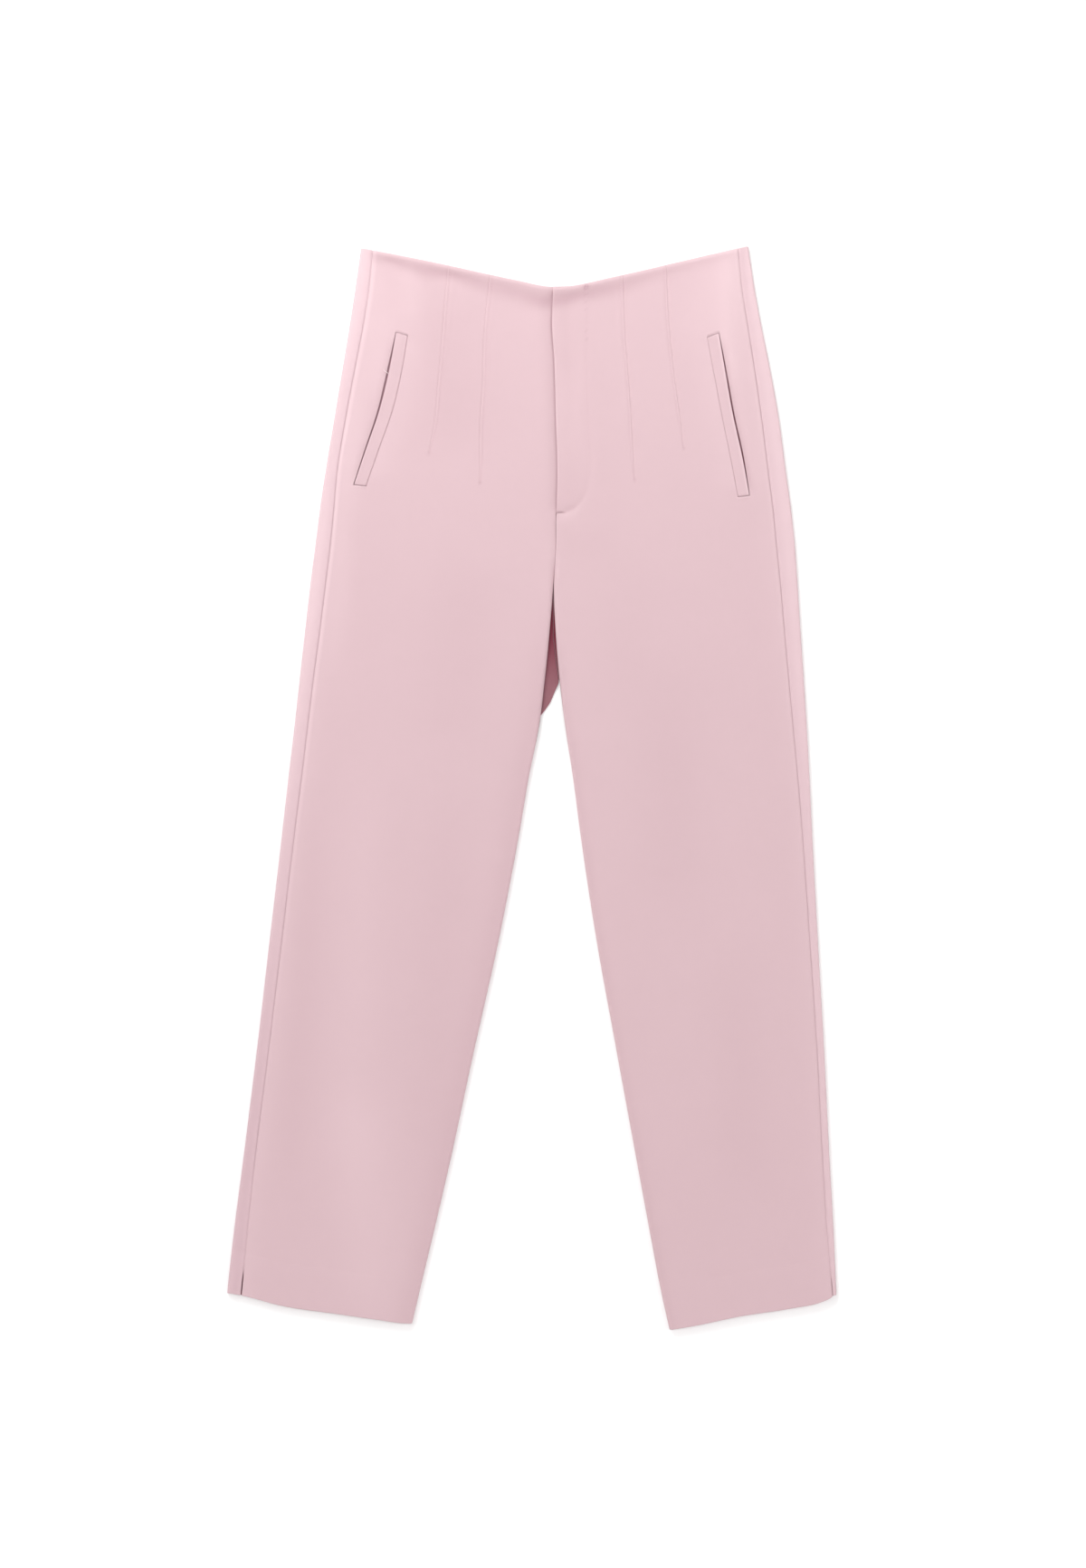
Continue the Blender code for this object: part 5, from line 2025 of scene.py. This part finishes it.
@dataclass
class Fly:
    """What closes the front under its lap: the shield, the zip with its slider, hook and bar."""

    cloth: Material
    tape: Material
    coil: Material
    metal: Material
    shield_x: tuple[float, float] = (10.0, 55.0)
    shield_y: tuple[float, float] = (248.0, 462.0)
    shield_z: float = 2.5
    shield_cloth: float = 1.0
    shield_corner: float = 12.0
    middle_x: float = 31.0
    tape_x: tuple[float, float] = (0.15, 14.0)
    tape_y: tuple[float, float] = (264.0, 446.0)
    tape_z: float = 3.8
    tape_cloth: float = 0.9
    bead: Ridge = Ridge(-0.12, 0.30, 0.05)
    tooth_pitch: float = 1.3
    tooth_rings: int = 7
    tooth_sides: int = 8
    chain_z: float = 3.92
    slider_y: float = 436.0
    hook_centre: tuple[float, float] = (29.5, 455.0)

    def build_shield(self) -> Object:
        """The shield behind the zip: a strip folded along its length."""
        (x_low, x_high), (y_low, y_high) = self.shield_x, self.shield_y
        corner = self.shield_corner
        y = stepped(((y_high, y_high - corner, 0.8), (y_high - corner, y_low + corner, 4.0),
                     (y_low + corner, y_low, 0.8)))[:, None]
        from_end = np.minimum(y - y_low, y_high - y)
        cut = np.maximum(corner - from_end, 0)
        inset = corner - np.sqrt(np.maximum(corner ** 2 - cut ** 2, 0))
        share = np.linspace(1, 0, 24)[None, :]
        x = x_low + inset + (x_high - x_low - 2 * inset) * share
        z = self.shield_z + 0.05 * np.sin(y / 19.0) * np.sin(x / 8.0)
        shell = ClothShell("cloth_fly_shield", grid_of(x, y, z), self.shield_cloth)
        shield = finish_piece(shell.build(), self.cloth, "suiting", "fly_shield")
        return shield

    def build_tapes(self) -> None:
        """The zip's two woven tapes, each with a beaded edge at the chain."""
        for side in Side:
            y = np.linspace(self.tape_y[1], self.tape_y[0], 92)[:, None]
            share = np.linspace(0, 1, 16)[None, :]
            near, far = self.tape_x
            x = self.middle_x + side.value * (near + (far - near) * share)
            z = self.tape_z + self.bead.at(share) + 0.03 * np.sin(y / 11.0)
            points = grid_of(x, y, z)
            if side is Side.LEFT:
                points = points[:, ::-1]
            shell = ClothShell("zip_tape_" + side.word, points, self.tape_cloth)
            tape = finish_piece(shell.build(), self.tape, "zip_tape", "fly_zip")

    def build_coil(self) -> Object:
        """The chain: teeth of both tapes in turn, each a rounded bar across the middle."""
        low, high = self.tape_y
        count = int((high - low - 12.0) / self.tooth_pitch)
        number = np.arange(count)
        side = np.where(number % 2 == 0, -1.0, 1.0)[:, None]
        share = np.linspace(0.02, 0.98, self.tooth_rings)[None, :]
        x = self.middle_x + side * (2.45 - 3.3 * share)
        y = low + 4.0 + self.tooth_pitch * number[:, None, None]
        radius = (0.30 + 0.12 * bell(share - 0.85, 0.12)) * np.sqrt(np.sin(np.pi * share))
        angle = 2 * np.pi * np.arange(self.tooth_sides) / self.tooth_sides
        ring_y = y + 1.6 * (radius[..., None] * np.cos(angle))
        ring_z = self.chain_z - side[..., None] * radius[..., None] * np.sin(angle)
        points = grid_of(x[..., None], ring_y, ring_z).reshape(-1, 3)
        faces = tube_faces(count, self.tooth_rings, self.tooth_sides)
        coil = put_mesh("zip_coil", points, faces.tolist())
        return finish_piece(coil, self.coil, "zip_tape")

    def build_slider(self) -> Object:
        """The slider on the chain, with its tab lying down."""
        x, y = self.middle_x, self.slider_y
        body = [(-4.3, 3.4), (-4.6, 0.5), (-3.2, -4.6), (-1.6, -6.0), (1.6, -6.0), (3.2, -4.6),
                (4.6, 0.5), (4.3, 3.4), (2.4, 5.2), (-2.4, 5.2)]
        tab = [(-2.5, -7.0), (-2.7, -21.5), (-1.4, -24.6), (1.4, -24.6), (2.7, -21.5),
               (2.5, -7.0), (1.2, -5.6), (-1.2, -5.6)]
        parts = [plate(soft_outline([(x + a, y + b) for a, b in body]), 4.35, 4.78),
                 plate(soft_outline([(x + a, y + b) for a, b in tab]), 4.52, 5.02),
                 plate(box_outline((x, y + 0.2), (1.1, 4.2)), 4.70, 5.10),
                 plate(box_outline((x, y - 15.5), (0.9, 5.0)), 4.95, 5.12, 0.05)]
        slider = joined("slider", parts, smooth=False)
        return finish_piece(slider, self.metal, "nickel", "zip_slider")

    def build_hook_and_bar(self) -> None:
        """The waist's hook: a plate and its tongue. The bar: a plate and its bridge."""
        centre = self.hook_centre
        hook = [plate(box_outline(centre, (6.0, 4.0)), 3.95, 4.40),
                plate(box_outline((29.0, 455.0), (4.4, 2.6)), 4.50, 4.95),
                plate(box_outline((32.6, 455.0), (0.7, 2.6)), 4.30, 4.80)]
        bar = [plate(box_outline(centre, (7.4, 3.0)), 2.82, 3.15, 0.08),
               plate(box_outline(centre, (4.6, 1.1)), 3.25, 3.58, 0.1),
               plate(box_outline((25.4, 455.0), (0.6, 1.1)), 3.05, 3.45, 0.08),
               plate(box_outline((33.6, 455.0), (0.6, 1.1)), 3.05, 3.45, 0.08)]
        for name, parts in (("waist_hook", hook), ("waist_bar", bar)):
            made = joined("metal_" + name, parts, smooth=False)
            finish_piece(made, self.metal, "nickel", name)

    def build(self) -> None:
        """All of the closure."""
        self.build_shield()
        self.build_tapes()
        self.build_coil()
        self.build_slider()
        self.build_hook_and_bar()


# ---------- Studio ----------


@dataclass
class Studio:
    """Pale floor, soft lights from the waist's side and both flanks, and a camera above."""

    photo_height: int = 1732
    millimetres_per_pixel: float = 0.84
    centre_mm: tuple[float, float] = (10.5, 4.2)
    camera_height: float = 3.5
    sensor: float = 36.0

    def floor(self) -> Object:
        """Wide pale floor, just under the cloth."""
        points = np.array([[-6e3, -6e3, -0.4], [6e3, -6e3, -0.4], [6e3, 6e3, -0.4],
                           [-6e3, 6e3, -0.4]])
        floor = put_mesh("floor", points, [(0, 1, 2, 3)])
        made, _, shader = new_material("StudioFloor")
        shader["Base Color"].default_value = (0.93, 0.925, 0.925, 1.0)
        shader["Roughness"].default_value = 0.9
        shader["Specular IOR Level"].default_value = 0.1
        floor.data.materials.append(made)
        return floor

    def softbox(self, name: str, place: tuple[float, float, float],
                aim: tuple[float, float, float], size: tuple[float, float],
                watts: float, colour: Colour = (1.0, 0.99, 0.987)) -> None:
        """A rectangular area light at a place, turned to its aim."""
        light = bpy.data.lights.new(name, "AREA")
        light.shape = "RECTANGLE"
        light.size, light.size_y = size
        light.energy = watts
        light.color = colour
        obj = bpy.data.objects.new(name, light)
        obj.location = place
        obj.rotation_euler = (Vector(aim) - Vector(place)).to_track_quat("-Z", "Y").to_euler()
        obj.visible_camera = False
        bpy.context.scene.collection.objects.link(obj)

    def lights(self) -> None:
        """A key beyond the waist, a strip along each flank, and an even pale surrounding."""
        cool = (0.955, 1.0, 0.985)
        self.softbox("key", (-0.9, 1.7, 1.25), (0.0, 0.1, 0.0), (1.0, 0.8), 24.5, cool)
        self.softbox("waist", (0.0, 1.05, 0.5), (0.0, 0.35, 0.0), (0.9, 0.3), 3.7, cool)
        self.softbox("above", (-0.3, 0.0, 2.6), (0.0, 0.0, 0.0), (1.6, 1.6), 15.4)
        self.softbox("flank_right", (-1.7, -0.1, 0.9), (0.0, 0.0, 0.0), (0.7, 2.2), 13.0)
        self.softbox("flank_left", (1.7, -0.1, 0.9), (0.0, 0.0, 0.0), (0.7, 2.2), 18.0)
        self.softbox("hems", (0.0, -2.0, 1.3), (0.0, -0.2, 0.0), (1.6, 0.8), 16.0)
        world = bpy.data.worlds.new("StudioWorld")
        bpy.context.scene.world = world
        world.use_nodes = True
        background = world.node_tree.nodes["Background"]
        background.inputs["Color"].default_value = (1.0, 0.99, 0.99, 1.0)
        background.inputs["Strength"].default_value = 0.30

    def camera(self) -> None:
        """Camera straight above, framed so that a photograph's pixel is a known length.

        The lens is the height times the sensor over the length that the frame's long side sees.
        """
        seen = self.photo_height * self.millimetres_per_pixel * MILLIMETRE
        data = bpy.data.cameras.new("camera")
        data.sensor_fit = "AUTO"
        data.sensor_width = self.sensor
        data.lens = self.sensor * self.camera_height / seen
        data.clip_end = 50.0
        camera = bpy.data.objects.new("camera", data)
        x, y = self.centre_mm
        camera.location = (x * MILLIMETRE, y * MILLIMETRE, self.camera_height)
        bpy.context.scene.collection.objects.link(camera)
        bpy.context.scene.camera = camera

    def build(self) -> None:
        """Set the stage."""
        self.camera()
        self.floor()
        self.lights()
        bpy.context.scene.view_settings.view_transform = "Standard"


def main() -> None:
    """Build the trousers and the studio."""
    logging.basicConfig(level=logging.INFO, format="%(name)s: %(message)s")
    Studio().build()
    cloth, back_cloth = SUITING.material(), SUITING_PAINTED_LIGHTER.material()
    pocketing, thread = POCKETING.material(), THREAD.material()
    for side in Side:
        panels = LegPanels(side, cloth, back_cloth)
        panels.build_back()
        panels.build_front()
        pocket = Pocket(side, cloth, pocketing)
        pocket.build_welt()
        pocket.build_bag()
        Topstitching(side, thread).build(pocket.stitches())
        if side is Side.RIGHT:
            pocket.build_loose_thread(PALE_THREAD.material())
    Fly(cloth, ZIP_TAPE.material(), COIL.material(), NICKEL.material()).build()


if __name__ == "__main__":
    main()
